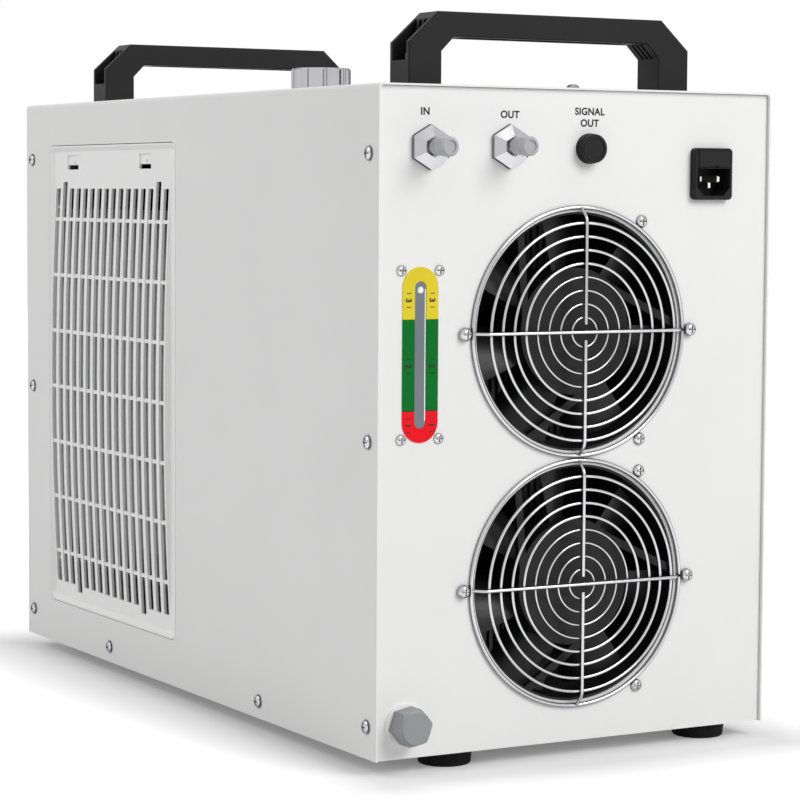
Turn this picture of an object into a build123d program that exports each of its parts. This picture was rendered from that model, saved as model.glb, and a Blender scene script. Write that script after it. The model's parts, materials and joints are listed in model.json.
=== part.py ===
from build123d import *
import os
from math import cos, radians, sin, sqrt

# A refrigerated water chiller. Millimetres, +Z up, +Y towards the back with the fans and water ports,
# +X towards the right side as seen from the front. Pieces are drawn with z = 0 at the casing's lower edge
# and y = 0 at the casing's middle, and moved to the origin under the whole object when they are written.

# Casing
CASE_W = 290.0
CASE_L = 565.5
CASE_H = 411.0
SHEET = 1.2
PANEL = 1.5
COVER_BEND_R = 3.0
PANEL_INSET = 2.5
SEAT = 0.1
SHEET_GAP = 0.3
FLANGE = 22.0
BASE_FLANGE_END = 26.0

SIDE = CASE_W / 2
BACK = CASE_L / 2
COVER_IN = SIDE - SHEET
PANEL_OUT = BACK - PANEL_INSET
PANEL_IN = PANEL_OUT - PANEL
FLANGE_OUT = COVER_IN - SHEET_GAP
ROOF_IN = CASE_H - SHEET

# Feet
FOOT_H = 10.0
FOOT_R = 17.5
FOOT_TAPER = 1.0
FOOT_EDGE = 1.5
FOOT_Y = 258.0
FOOT_X = (82.5, -111.0)
FOOT_RECESS_R = 6.5
FOOT_RECESS = 5.0
FOOT_BOLT_R = 2.5
FOOT_HEAD_R = 4.5
BOLT_PLAY = 0.2

# Casing screws with washers
SCREW_SHANK_R = 1.9
SCREW_HOLE_R = 2.3
SCREW_PILOT_R = 2.0
WASHER_R = 4.6
WASHER_T = 0.6
SCREW_HEAD_R = 3.9
SCREW_HEAD_H = 1.8
SCREW_LENGTH = 8.0
SCREW_BRIM = 0.35
SCREW_DOME = (0.72, 0.82)
CROSS_SPAN = 1.3
CROSS_W = 0.9
CROSS_DEPTH = 0.7
SIDE_SCREW_Y = 270.5
SIDE_SCREW_LOW = 20.0
SIDE_SCREW_DROP = 42.0
SIDE_SCREW_HIGH = CASE_H - SIDE_SCREW_DROP
SIDE_SCREW_Z = (SIDE_SCREW_LOW, (SIDE_SCREW_LOW + SIDE_SCREW_HIGH) / 2, SIDE_SCREW_HIGH)
LOW_SCREW_Y = 122.6
LOW_SCREW_Z = 11.4

# Filter doors in the two sides
DOOR_Y = -122.0
DOOR_W = 228.0
DOOR_LOW = 32.5
DOOR_TOP_ROOM = 32.0
DOOR_HIGH = CASE_H - DOOR_TOP_ROOM
DOOR_H = DOOR_HIGH - DOOR_LOW
DOOR_Z = (DOOR_LOW + DOOR_HIGH) / 2
DOOR_FRONT = DOOR_Y - DOOR_W / 2
DOOR_REAR = DOOR_Y + DOOR_W / 2
DOOR_CORNER_R = 6.5
DOOR_PLAY = 0.5
DOOR_RIM = 1.2
DOOR_BEVEL = 3.0
DOOR_PLATE = 2.0
DOOR_DEPTH = 13.0
DOOR_WALL = 2.0
WELL_LIP = 1.2
WELL_STOP = 4.0
LOUVRE_LOW_EDGE = 12.9
LOUVRE_TOP_EDGE = 29.6
LOUVRE_LOW = DOOR_LOW + LOUVRE_LOW_EDGE
LOUVRE_HIGH = DOOR_HIGH - LOUVRE_TOP_EDGE
LOUVRE_Z = (LOUVRE_LOW + LOUVRE_HIGH) / 2
LOUVRE_HALF = (LOUVRE_HIGH - LOUVRE_LOW) / 2
LOUVRE_RISE = 4.5
LOUVRE_T = 2.0
SLOT_PITCH = 13.1
SLOT_W = 8.2
SLOT_FRONT_EDGE = 6.7
SLOT_REAR_EDGE = 16.0
SLOT_Y0 = DOOR_FRONT + SLOT_FRONT_EDGE
SLOT_COUNT = 1 + int((DOOR_W - SLOT_FRONT_EDGE - SLOT_REAR_EDGE - SLOT_W) / SLOT_PITCH)
SLOT_SHORT = 2.3
SLOT_EXTRA = 5.0
SLOT_MARGIN = 2.0
SLOT_CHEEK = 1.5
TALL_TOP_SLOTS = (1, SLOT_COUNT - 2)
TALL_LOW_SLOTS = (3, SLOT_COUNT - 4)
BAR_PITCH = 42.2
BAR_COUNT = int(2 * LOUVRE_HALF / BAR_PITCH)
BAR_H = 2.6
BAR_SUNK = 0.7
BAR_SEAT = 1.0
LATCH_FRONT_EDGE = 38.7
LATCH_REAR_EDGE = 57.4
LATCH_Y = (DOOR_FRONT + LATCH_FRONT_EDGE, DOOR_REAR - LATCH_REAR_EDGE)
LATCH_DROP = 12.3
LATCH_Z = DOOR_HIGH - LATCH_DROP
LATCH_W = 20.6
LATCH_H = 10.8
LATCH_SLOT = 3.3
LATCH_TONGUE = 1.6
LATCH_ROOT = 2.0
LATCH_WEDGE_W = 4.5
LATCH_WEDGE_H = 3.5
LATCH_WEDGE_SUNK = 0.4
MESH_T = 3.0
MESH_LOW_EDGE = 33.5
MESH_TOP_EDGE = 47.0
MESH_Z0 = DOOR_LOW + MESH_LOW_EDGE
MESH_Z1 = DOOR_HIGH - MESH_TOP_EDGE
MESH_PLAY = 0.5
LEDGE = 2.0
LEDGE_L = 8.0

# Handles
HANDLE_HALF = 104.5
HANDLE_H = 46.5
HANDLE_Y = 234.4
HANDLE_D = 24.4
HANDLE_LEG = 23.5
HANDLE_EDGE = 0.7
HANDLE_SHOULDER = 27.3
HANDLE_OUT_CHAMFER = 21.0
HANDLE_GRIP = 15.5
HANDLE_IN_CHAMFER = 9.0
POCKET_W = 17.6
POCKET_X = 88.0
POCKET_FLOOR = 16.2
POCKET_RIB = 1.6
GRIP_NOTCH_W = 2.2
GRIP_NOTCH_PITCH = 5.0
GRIP_NOTCH = 1.6
GRIP_GROOVE_W = 15.0
GRIP_GROOVE = 2.0
HANDLE_BOLT_X = 95.5
HANDLE_BOLT_R = 2.5
HANDLE_HEAD_R = 4.2
HANDLE_HEAD_H = 4.5
HANDLE_HEX_R = 2.3
BOLT_PAST_NUT = 2.0
NUT_R = 4.6
NUT_H = 4.0

# Filler
FILLER_SIDE_ROOM = 65.0
FILLER_X = SIDE - FILLER_SIDE_ROOM
FILLER_Y = 83.8
NECK_R = 14.0
NECK_BORE_R = 11.0
NECK_RISE = 10.0
COLLAR_R = 19.0
COLLAR_T = 2.0
GASKET_T = 1.5
GASKET_EDGE = 1.0
CAP_R = 20.0
CAP_TOP = 17.0
CAP_ROOF = 4.5
CAP_EDGE = 1.2
CAP_PLAY = 0.3
CAP_FLUTES = 8
CAP_FLUTE_R = 4.0
CAP_FLUTE_AT = 22.4
CAP_FLUTE_TURN = 29.3

# Fans and guards
FAN_Z = (259.2, 100.6)
FAN_R = 86.0
FAN_FLAT = 75.5
FAN_DEPTH = 51.0
FAN_FLANGE = 4.0
FAN_BARREL_R = 76.5
FAN_DUCT_R = 73.5
FAN_HOLE_R = 75.0
FAN_SCREW_X = 83.5
FAN_CORNER_X = -46.2
FAN_CORNER_Z = 69.0
GUARD_SCREWS = ((FAN_SCREW_X, 0.0), (-FAN_SCREW_X, 0.0))
FAN_SCREWS = GUARD_SCREWS + ((FAN_CORNER_X, FAN_CORNER_Z), (FAN_CORNER_X, -FAN_CORNER_Z))
FAN_SCREW_HEAD_R = 4.0
FAN_SCREW_HEAD_H = 2.6
FAN_SCREW_LENGTH = 9.0
MOTOR_R = 40.0
MOTOR_PLATE = 4.0
MOTOR_SUNK = 2.7
STRUT_START_R = 37.5
STRUT_END_R = 75.0
STRUT_ANGLES = (47.0, 167.0, 287.0)
STRUT_TURN = 44.0
STRUT_W = 5.0
POST_R = 6.0
POST_LENGTH = 32.0
ROTOR_GAP = 1.5
ROTOR_R = 39.0
ROTOR_H = 34.0
ROTOR_WALL = 3.0
ROTOR_BORE_PLAY = 0.05
BLADE_COUNT = 7
BLADE_TIP_R = 71.5
BLADE_T = 1.8
BLADE_TRIM = 2.0
BLADE_ROOT_CHORD = 34.0
BLADE_TIP_CHORD = 42.0
BLADE_ROOT_PITCH = 48.0
BLADE_TIP_PITCH = 28.0
GUARD_R = 77.8
GUARD_RIM_WIRE = 1.3
GUARD_WIRE = 1.0
GUARD_RINGS = 8
GUARD_RING_R0 = 9.2
GUARD_RING_STEP = 8.4
GUARD_RISE = 5.2
GUARD_SPOKE_WIRE = 1.1
GUARD_SPOKE_LIFT = 1.6
GUARD_SPOKE_BEND_R = 71.0
GUARD_GAP = 5.0
WIRE_SIDES = 8
BEND_OVERLAP = 0.3
EYELET_R = 5.2
EYELET_BORE_R = 2.2
EYELET_T = 2.0

# Level gauge
GAUGE_SIDE_ROOM = 30.4
GAUGE_X = SIDE - GAUGE_SIDE_ROOM
GAUGE_Z = 247.2
GAUGE_W = 24.8
GAUGE_L = 106.9
GAUGE_T = 0.6
GAUGE_SLOT_W = 8.0
GAUGE_SLOT_L = 89.6
GAUGE_FLANGE_W = 33.0
GAUGE_FLANGE_L = 113.0
GAUGE_FLANGE_T = 3.0
GAUGE_BLOCK_W = 16.0
GAUGE_BLOCK_L = 102.0
GAUGE_BLOCK_T = 9.0
GAUGE_CORNER_R = 3.0
GAUGE_PLAY = 0.1
GAUGE_SCREW_X = 13.25
GAUGE_SCREW_Z = 51.3
GAUGE_SCREW_HEAD_R = 3.3
GAUGE_SCREW_HEAD_H = 1.8
GAUGE_SCREW_R = 1.5
GAUGE_SCREW_LENGTH = 4.0
GAUGE_PORT_Z = (205.0, 290.0)
GAUGE_NIPPLE_R = 3.0
GAUGE_NIPPLE_L = 10.0

# Water ports
INLET_SIDE_ROOM = 36.0
INLET_DROP = 38.0
PORT_SPACING = 56.4
OUTLET_DROP = 37.0
INLET_X = SIDE - INLET_SIDE_ROOM
PORTS = {"inlet": (INLET_X, CASE_H - INLET_DROP), "outlet": (INLET_X - PORT_SPACING, CASE_H - OUTLET_DROP)}
PORT_HEX_R = 13.75
PORT_HEX_T = 3.2
PORT_CONE_R = 6.6
PORT_CONE_T = 3.6
PORT_NECK_R = 5.0
PORT_NECK_L = 3.2
PORT_BARB_R = 4.0
PORT_BARB_L = 13.0
PORT_BORE_R = 2.75
PORT_SHANK_R = 8.0
PORT_SHANK_L = 16.0
PORT_TAIL_R = 5.0
PORT_TAIL_L = 16.0
HOLE_PLAY = 0.2
LOCKNUT_R = 13.0
LOCKNUT_T = 6.0
LOCKNUT_PLAY = 0.05
DUST_CAP_R = 6.0
DUST_CAP_NECK_R = 5.3
DUST_CAP_END = 26.0
DUST_CAP_BORE_PLAY = 0.2
DUST_CAP_ROOF = 2.5
DUST_CAP_DISH_R = 3.8
DUST_CAP_DISH = 0.8
DUST_CAP_GAP = 0.3
DUST_CAP_EDGE = 1.0
DUST_CAP_SWELL = (0.35, 0.55)

# Alarm socket
ALARM_X = -5.9
ALARM_DROP = 37.5
ALARM_Z = CASE_H - ALARM_DROP
ALARM_FLANGE_R = 9.5
ALARM_FLANGE_T = 1.8
ALARM_BODY_R = 7.0
ALARM_SNOUT = 4.2
ALARM_BODY_L = 26.0
ALARM_CAP_R = 9.3
ALARM_CAP_END_R = 8.9
ALARM_CAP_END = 8.0
ALARM_CAP_DISH_R = 6.6
ALARM_CAP_DISH = 0.5
ALARM_PLAY = 0.25
ALARM_CAP_ROOF = 1.6
ALARM_NUT_R = 11.0
ALARM_NUT_T = 3.0
ALARM_HOLE_X = 2.5
ALARM_HOLE_R = 1.0
ALARM_HOLE_D = 3.0
ALARM_CAP_KNURL = 2.2
ALARM_CAP_EDGE = 0.6

# Power inlet with fuse drawer
POWER_SIDE_ROOM = 46.5
POWER_DROP = 52.5
POWER_X = POWER_SIDE_ROOM - SIDE
POWER_Z = CASE_H - POWER_DROP
POWER_W = 30.0
POWER_H = 33.0
POWER_PROUD = 5.0
POWER_CORNER_R = 3.0
POWER_EDGE = 0.8
POWER_BODY_W = 27.6
POWER_BODY_H = 30.8
POWER_BODY_L = 27.0
POWER_CAVITY_W = 25.4
POWER_CAVITY_H = 17.4
POWER_CAVITY_TOP = 3.5
POWER_CAVITY_D = 16.0
POWER_CHAMFER = 5.0
PIN_X = 7.0
PIN_HIGH = -3.2
PIN_LOW = -7.2
PIN_W = 2.0
PIN_H = 4.0
PIN_SUNK = 4.5
PIN_TAIL = 8.0
PIN_PLAY = 0.03
PIN_EDGE = 0.5
DRAWER_W = 23.5
DRAWER_H = 10.8
DRAWER_Z = 9.6
DRAWER_D = 22.0
DRAWER_PROUD = 0.5
DRAWER_PLAY = 0.3
DRAWER_NOTCH_W = 7.0
DRAWER_NOTCH = 1.2
DRAWER_CORNER_R = 0.8
DRAWER_WALL = 2.0

# Drain
DRAIN_SIDE_ROOM = 20.5
DRAIN_X = SIDE - DRAIN_SIDE_ROOM
DRAIN_Z = 21.3
DRAIN_FLANGE_R = 13.0
DRAIN_FLANGE_T = 2.5
DRAIN_TUBE_R = 8.0
DRAIN_BORE_R = 3.0
DRAIN_SNOUT = 10.0
DRAIN_TAIL = 18.0
PLUG_HEX_R = 12.2
PLUG_TURN = 10.6
PLUG_END = 16.0
PLUG_CHAMFER = 1.2
PLUG_DISC_R = 9.8
PLUG_DISC_T = 0.4
PLUG_GAP = 0.3
PLUG_BORE_PLAY = 0.5

# Front panel controls
CTRL_X = 0.0
CTRL_DROP = 66.0
CTRL_Z = CASE_H - CTRL_DROP
CTRL_W = 112.0
CTRL_H = 62.0
CTRL_PROUD = 8.0
CTRL_CORNER_R = 6.0
CTRL_EDGE = 2.5
CTRL_BODY_W = 100.0
CTRL_BODY_H = 50.0
CTRL_BODY_D = 45.0
CTRL_WINDOW_W = 72.0
CTRL_WINDOW_H = 26.0
CTRL_WINDOW_UP = 9.0
CTRL_WINDOW_T = 2.0
BUTTONS = {"set_button": 22.0, "down_button": 0.0, "up_button": -22.0}
BUTTON_DROP = 19.0
BUTTON_W = 14.0
BUTTON_H = 7.0
BUTTON_T = 4.0
BUTTON_CORNER_R = 2.0
BUTTON_EDGE = 0.6
BUTTON_PROUD = 1.2
BUTTON_PLAY = 0.3
BUTTON_TRAVEL = 0.8
SWITCH_SIDE_ROOM = 45.0
SWITCH_X = SIDE - SWITCH_SIDE_ROOM
SWITCH_Z = CTRL_Z
SWITCH_W = 22.0
SWITCH_H = 31.0
SWITCH_FRAME = 2.0
SWITCH_PROUD = 2.5
SWITCH_CORNER_R = 2.0
SWITCH_EDGE = 0.8
SWITCH_BODY_W = 19.0
SWITCH_BODY_H = 27.0
SWITCH_BODY_D = 22.0
ROCKER_W = 14.0
ROCKER_H = 23.0
ROCKER_T = 5.0
ROCKER_PROUD = 1.6
ROCKER_TILT = 9.0
ROCKER_PLAY = 0.4
ROCKER_PIN_R = 1.5
ROCKER_PIN_PLAY = 0.05

# Inside
TANK_X0 = -5.0
TANK_SIDE_ROOM = 10.0
TANK_X1 = SIDE - TANK_SIDE_ROOM
TANK_Y0 = 0.0
TANK_Y1 = 158.0
TANK_Z0 = 188.0
TANK_TOP_ROOM = 25.0
TANK_Z1 = CASE_H - TANK_TOP_ROOM
TANK_WALL = 3.0
TANK_CORNER_R = 6.0
STAND_T = 2.0
STAND_FOOT = 14.0
STAND_Y0 = 18.0
STAND_Y1 = 148.0
NIPPLE_R = 5.0
DRAIN_NIPPLE_R = 4.0
NIPPLE_L = 8.0
NIPPLE_WALL = 1.5
RETURN_DROP = 24.0
RETURN_Z = TANK_Z1 - RETURN_DROP
SUCTION_SIDE_ROOM = 75.0
SUCTION_X = SIDE - SUCTION_SIDE_ROOM
SUCTION_Z = 200.0
DRAIN_PORT_Z = 196.5
COIL_ROOM = 25.0
COIL_R = (TANK_X1 - TANK_X0) / 2 - TANK_WALL - COIL_ROOM
COIL_TUBE_R = 4.0
COIL_TURNS = 4
COIL_Z0 = 235.0
COIL_Z1 = 325.0
COIL_TAIL = 10.0
COMP_SIDE_ROOM = 73.0
COMP_X = COMP_SIDE_ROOM - SIDE
COMP_Y = 64.0
COMP_R = 56.0
COMP_Z0 = 19.0
COMP_Z1 = 205.0
COMP_SEAM_R = 59.0
COMP_PLATE = 3.0
COMP_DOME_R = 30.0
COMP_STUB = 4.0
COMP_STUB_X = 18.0
DISCHARGE_STUB_X = 14.0
DISCHARGE_STUB_Y = -18.0
COMP_FOOT_X = 52.0
COMP_FOOT_Y = 60.0
COMP_FOOT_RIM = 12.0
COMP_FOOT_HOLE_R = 4.0
COMP_TERMINAL = (36.0, 14.0, 44.0)
MOUNT_WAIST = 3.0
MOUNT_R = 11.0
COND_SIDE_ROOM = 55.0
COND_HALF = SIDE - COND_SIDE_ROOM
COND_PLATE = 2.0
COND_RIM = 4.0
COND_FOOT = 10.0
COND_PORT_IN = 8.0
COND_Y0 = 176.0
COND_Y1 = 214.0
COND_Z0 = 24.0
COND_TOP_ROOM = 67.0
COND_Z1 = CASE_H - COND_TOP_ROOM
COND_FIN_PITCH = 5.0
COND_FIN_GROOVE = 3.0
COND_FIN_GROOVE_D = 2.0
BEND_PITCH = 44.0
BEND_COUNT = int((COND_Z1 - COND_Z0) / BEND_PITCH)
BEND_R = 11.0
BEND_TUBE_R = 4.0
COND_LOW_PORT = 26.0
COND_HIGH_PORT = 14.0
COND_PORT_Z = (COND_Z0 + COND_LOW_PORT, COND_Z1 - COND_HIGH_PORT)
COND_PORT_L = 16.0
LINE_R = 3.0
LINE_SIDE_ROOM = 23.0
LINE_X = LINE_SIDE_ROOM - SIDE
LINE_BEND = 12.0
SMALL_BEND = 6.0
DISCHARGE_Z = 250.0
CAPILLARY_REACH = 16.0
DRIER_R = 9.0
DRIER_Y = 150.0
DRIER_Z0 = 70.0
DRIER_Z1 = 150.0
DRIER_CONE = 14.0
CAPILLARY_R = 1.5
SUCTION_LINE_R = 4.0
HOSE_R = 6.0
SMALL_HOSE_R = 4.0
DRAIN_HOSE_R = 5.0
HOSE_BEND = 18.0
HOSE_TIGHT = 8.0
HOSE_LEAD = 15.0
HOSE_DROP = 25.0
SUPPLY_RISE = 50.0
PUMP_SIDE_ROOM = 75.0
PUMP_X = SIDE - PUMP_SIDE_ROOM
PUMP_Z = 44.0
PUMP_Y0 = 14.0
PUMP_VOLUTE_R = 34.0
PUMP_VOLUTE_L = 26.0
PUMP_MOTOR_R = 29.0
PUMP_MOTOR_L = 88.0
PUMP_FOOT_W = 50.0
PUMP_RIB_W = 32.0
PUMP_RIB = 6.0
PUMP_RIB_IN = 12.0
PUMP_OUT_X = 26.0
PUMP_PORT_R = 5.0
BOX_HALF = 60.0
BOX_Y0 = -244.0
BOX_Y1 = -150.0
BOX_H = 112.0
BOX_R = 4.0
VENT_COUNT = 7
VENT_PITCH = 12.0
VENT_W = 4.0
VENT_DEPTH = 1.0
VENT_SPAN = (0.33, 0.85)

REAR_REACH = PANEL_OUT + DUST_CAP_END
FRONT_REACH = PANEL_OUT + CTRL_PROUD + BUTTON_PROUD
SHIFT_Y = (FRONT_REACH - REAR_REACH) / 2
TINY = 0.01
PAST = 1.0


def block(x0, x1, y0, y1, z0, z1):
    centre = Pos((x0 + x1) / 2, (y0 + y1) / 2, (z0 + z1) / 2)
    return centre * Box(abs(x1 - x0), abs(y1 - y0), abs(z1 - z0))


def rod(start, direction, radius, length):
    return extrude(Plane(origin=start, z_dir=direction) * Circle(radius), amount=length)


def back_plane(x, y, z):
    # local x runs along X and local y runs down, seen from behind the object
    return Plane(origin=(x, y, z), x_dir=(1, 0, 0), z_dir=(0, 1, 0))


def front_plane(x, y, z):
    # local x runs along X and local y runs up, seen from in front of the object
    return Plane(origin=(x, y, z), x_dir=(1, 0, 0), z_dir=(0, -1, 0))


def side_plane(x, y, z):
    # local x runs along Y and local y runs up
    return Plane(origin=(x, y, z), x_dir=(0, 1, 0), z_dir=(1, 0, 0))


def backward(profile, x, y, z, length):
    return extrude(back_plane(x, y, z) * profile, amount=length)


def frontward(profile, x, y, z, length):
    return extrude(front_plane(x, y, z) * profile, amount=length)


def sideward(profile, x, y, z, length):
    return extrude(side_plane(x, y, z) * profile, amount=length)


def turned(points, place):
    # a solid of revolution from (radius, height) points, along the place's Z
    outline = Polyline(*[(r, 0, h) for r, h in points], close=True)
    return place * revolve(make_face(outline), axis=Axis.Z)


def facing_back(x, y, z):
    return Location(Plane(origin=(x, y, z), x_dir=(1, 0, 0), z_dir=(0, 1, 0)))


def tube_path(points, radius, bend):
    path = FilletPolyline(*points, radius=bend) if len(points) > 2 else Line(*points)
    start = Plane(origin=path @ 0, z_dir=path % 0)
    return sweep(start * Circle(radius), path=path)


def both_sides(points):
    return [(sx * x, y, z) for sx in (1, -1) for x, y, z in points]


def side_screw_places():
    upright = [(SIDE, sy * SIDE_SCREW_Y, z) for sy in (1, -1) for z in SIDE_SCREW_Z]
    low = [(SIDE, sy * LOW_SCREW_Y, LOW_SCREW_Z) for sy in (1, -1)]
    return upright + low


def cross_recess(radius, top):
    # a cross-head driver recess cut from the top of a head whose axis is Z
    arm = CROSS_SPAN * radius
    return (Pos(0, 0, top) * Box(arm, CROSS_W, 2 * CROSS_DEPTH)
            + Pos(0, 0, top) * Box(CROSS_W, arm, 2 * CROSS_DEPTH))


def pan_screw(head_r, head_h, shank_r, shank_l, washer_r=0.0):
    # the seat is at z = 0 and the head stands up from it
    seat = WASHER_T if washer_r else 0.0
    top, brim = seat + head_h, seat + SCREW_BRIM * head_h
    shoulder = (SCREW_DOME[0] * head_r, 0, seat + SCREW_DOME[1] * head_h)
    dome = ThreePointArc((0, 0, top), shoulder, (head_r, 0, brim))
    outline = dome + Polyline((head_r, 0, brim), (head_r, 0, seat), (0, 0, seat), (0, 0, top))
    head = revolve(make_face(outline), axis=Axis.Z)
    screw = head - cross_recess(head_r, seat + head_h)
    screw += Pos(0, 0, -shank_l / 2) * Cylinder(shank_r, shank_l)
    if washer_r:
        screw += Pos(0, 0, seat / 2) * Cylinder(washer_r, seat)
    return screw


def make_base_pan():
    base = block(-FLANGE_OUT, FLANGE_OUT, SEAT - PANEL_IN, PANEL_IN - SEAT, 0, PANEL)
    end = PANEL_IN - BASE_FLANGE_END
    for side in (1, -1):
        base += block(side * (FLANGE_OUT - PANEL), side * FLANGE_OUT, -end, end, 0, FLANGE)
    for x, y in foot_places():
        base -= Pos(x, y, 0) * Cylinder(FOOT_BOLT_R + BOLT_PLAY, 4 * PANEL)
    for x, y, z in both_sides([(SIDE, LOW_SCREW_Y, LOW_SCREW_Z), (SIDE, -LOW_SCREW_Y, LOW_SCREW_Z)]):
        base -= Pos(x, y, z) * Rot(0, 90, 0) * Cylinder(SCREW_PILOT_R, 2 * FLANGE)
    for row in range(VENT_COUNT):
        y = (row - (VENT_COUNT - 1) / 2) * VENT_PITCH - LOW_SCREW_Y / 2
        base -= Pos(0, y, 0) * Box(COND_HALF, VENT_W, 4 * PANEL)
    return base


def foot_places():
    return [(x, sy * FOOT_Y) for sy in (1, -1) for x in FOOT_X]


def make_foot(x, y):
    low_r = FOOT_R - FOOT_TAPER
    foot = Pos(x, y, -FOOT_H) * Cone(low_r, FOOT_R, FOOT_H, align=(Align.CENTER, Align.CENTER, Align.MIN))
    foot = fillet(foot.edges().sort_by(Axis.Z)[0], FOOT_EDGE)
    foot -= Pos(x, y, -FOOT_H) * Cylinder(FOOT_RECESS_R, 2 * FOOT_RECESS)
    return foot - Pos(x, y, 0) * Cylinder(FOOT_BOLT_R + BOLT_PLAY, 4 * FOOT_H)


def make_foot_bolts():
    head = FOOT_RECESS / 2
    bolts = []
    for x, y in foot_places():
        seat = FOOT_RECESS - FOOT_H
        bolt = Pos(x, y, seat - head / 2) * Cylinder(FOOT_HEAD_R, head)
        bolt += rod((x, y, seat), (0, 0, 1), FOOT_BOLT_R, FOOT_RECESS + 4 * PANEL)
        bolts.append(bolt)
    return bolts


def door_outline(grow):
    return RectangleRounded(DOOR_W + 2 * grow, DOOR_H + 2 * grow, DOOR_CORNER_R + grow)


def make_cover():
    shell = extrude(Plane.XZ.offset(-BACK) * Pos(0, CASE_H / 2) * Rectangle(CASE_W, CASE_H), amount=CASE_L)
    top_bends = [e for e in shell.edges().filter_by(Axis.Y) if e.center().Z > CASE_H - TINY]
    shell = fillet(top_bends, COVER_BEND_R)
    room = block(-COVER_IN, COVER_IN, -CASE_L, CASE_L, -CASE_H, ROOF_IN)
    roof_bends = [e for e in room.edges().filter_by(Axis.Y) if e.center().Z > ROOF_IN - TINY]
    cover = shell - fillet(roof_bends, COVER_BEND_R - SHEET)
    well_in = SIDE - DOOR_DEPTH - SHEET_GAP - WELL_LIP
    well = sideward(door_outline(DOOR_PLAY + WELL_LIP), well_in, DOOR_Y, DOOR_Z, COVER_IN + TINY - well_in)
    room_in_well = sideward(door_outline(DOOR_PLAY), well_in + WELL_LIP, DOOR_Y, DOOR_Z, CASE_W)
    throat = sideward(door_outline(DOOR_PLAY - WELL_STOP), well_in - WELL_LIP, DOOR_Y, DOOR_Z, CASE_W)
    for flip in (False, True):
        lip, cut, hole = (mirror(s, about=Plane.YZ) if flip else s for s in (well, room_in_well, throat))
        cover = cover + lip - cut - hole
    for x, y, z in both_sides(side_screw_places()):
        cover -= Pos(x, y, z) * Rot(0, 90, 0) * Cylinder(SCREW_HOLE_R, 4 * SHEET)
    for side in (1, -1):
        cover -= Pos(0, side * SIDE_SCREW_Y, CASE_H) * Cylinder(SCREW_HOLE_R, 4 * SHEET)
        for x in (HANDLE_BOLT_X, -HANDLE_BOLT_X):
            cover -= Pos(x, side * HANDLE_Y, CASE_H) * Cylinder(HANDLE_BOLT_R + BOLT_PLAY, 4 * SHEET)
    return cover - Pos(FILLER_X, FILLER_Y, CASE_H) * Cylinder(NECK_R + HOLE_PLAY, 4 * SHEET)


def make_panel_blank():
    # a tray whose folded edges point into the casing, drawn as the back panel
    top = ROOF_IN - SHEET_GAP
    blank = block(-FLANGE_OUT, FLANGE_OUT, PANEL_IN, PANEL_OUT, 0, top)
    low = PANEL + SEAT
    for side in (1, -1):
        blank += block(side * (FLANGE_OUT - PANEL), side * FLANGE_OUT, PANEL_IN - FLANGE, PANEL_IN, low, top)
        for z in SIDE_SCREW_Z:
            hole = Rot(0, 90, 0) * Cylinder(SCREW_PILOT_R, 4 * PANEL)
            blank -= Pos(side * FLANGE_OUT, SIDE_SCREW_Y, z) * hole
    blank += block(-FLANGE_OUT, FLANGE_OUT, PANEL_IN - FLANGE, PANEL_IN, top - PANEL, top)
    along = [e for e in blank.edges().filter_by(Axis.Y) if e.center().Z > top - TINY]
    blank = fillet([e for e in along if abs(e.center().X) > FLANGE_OUT - TINY], COVER_BEND_R - SHEET)
    return blank - Pos(0, SIDE_SCREW_Y, top) * Cylinder(SCREW_PILOT_R, 4 * PANEL)


def through_back(profile, x, z):
    return backward(profile, x, PANEL_IN - PANEL, z, 4 * PANEL)


def make_back_panel():
    panel = make_panel_blank()
    for z in FAN_Z:
        panel -= through_back(Circle(FAN_HOLE_R), 0, z)
        for x, dz in FAN_SCREWS:
            panel -= through_back(Circle(SCREW_PILOT_R + HOLE_PLAY), x, z + dz)
    for x, z in PORTS.values():
        panel -= through_back(Circle(PORT_SHANK_R + HOLE_PLAY), x, z)
    panel -= through_back(SlotOverall(GAUGE_SLOT_L, GAUGE_SLOT_W, rotation=90), GAUGE_X, GAUGE_Z)
    for x, z in gauge_screw_places():
        panel -= through_back(Circle(GAUGE_SCREW_R + HOLE_PLAY), x, z)
    panel -= through_back(Circle(ALARM_BODY_R + HOLE_PLAY), ALARM_X, ALARM_Z)
    inlet = Rectangle(POWER_BODY_W + 2 * HOLE_PLAY, POWER_BODY_H + 2 * HOLE_PLAY)
    panel -= through_back(inlet, POWER_X, POWER_Z)
    return panel - through_back(Circle(DRAIN_TUBE_R + HOLE_PLAY), DRAIN_X, DRAIN_Z)


def make_front_panel():
    panel = mirror(make_panel_blank(), about=Plane.XZ)
    body = Rectangle(CTRL_BODY_W + 2 * HOLE_PLAY, CTRL_BODY_H + 2 * HOLE_PLAY)
    panel -= frontward(body, CTRL_X, PANEL - PANEL_IN, CTRL_Z, 4 * PANEL)
    switch = Rectangle(SWITCH_BODY_W + 2 * HOLE_PLAY, SWITCH_BODY_H + 2 * HOLE_PLAY)
    return panel - frontward(switch, SWITCH_X, PANEL - PANEL_IN, SWITCH_Z, 4 * PANEL)


def louvre_face(z):
    # how far the arched louvre stands out of the door's plate at height z
    radius = (LOUVRE_HALF ** 2 + LOUVRE_RISE ** 2) / (2 * LOUVRE_RISE)
    return sqrt(radius ** 2 - (z - LOUVRE_Z) ** 2) - (radius - LOUVRE_RISE)


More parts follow.
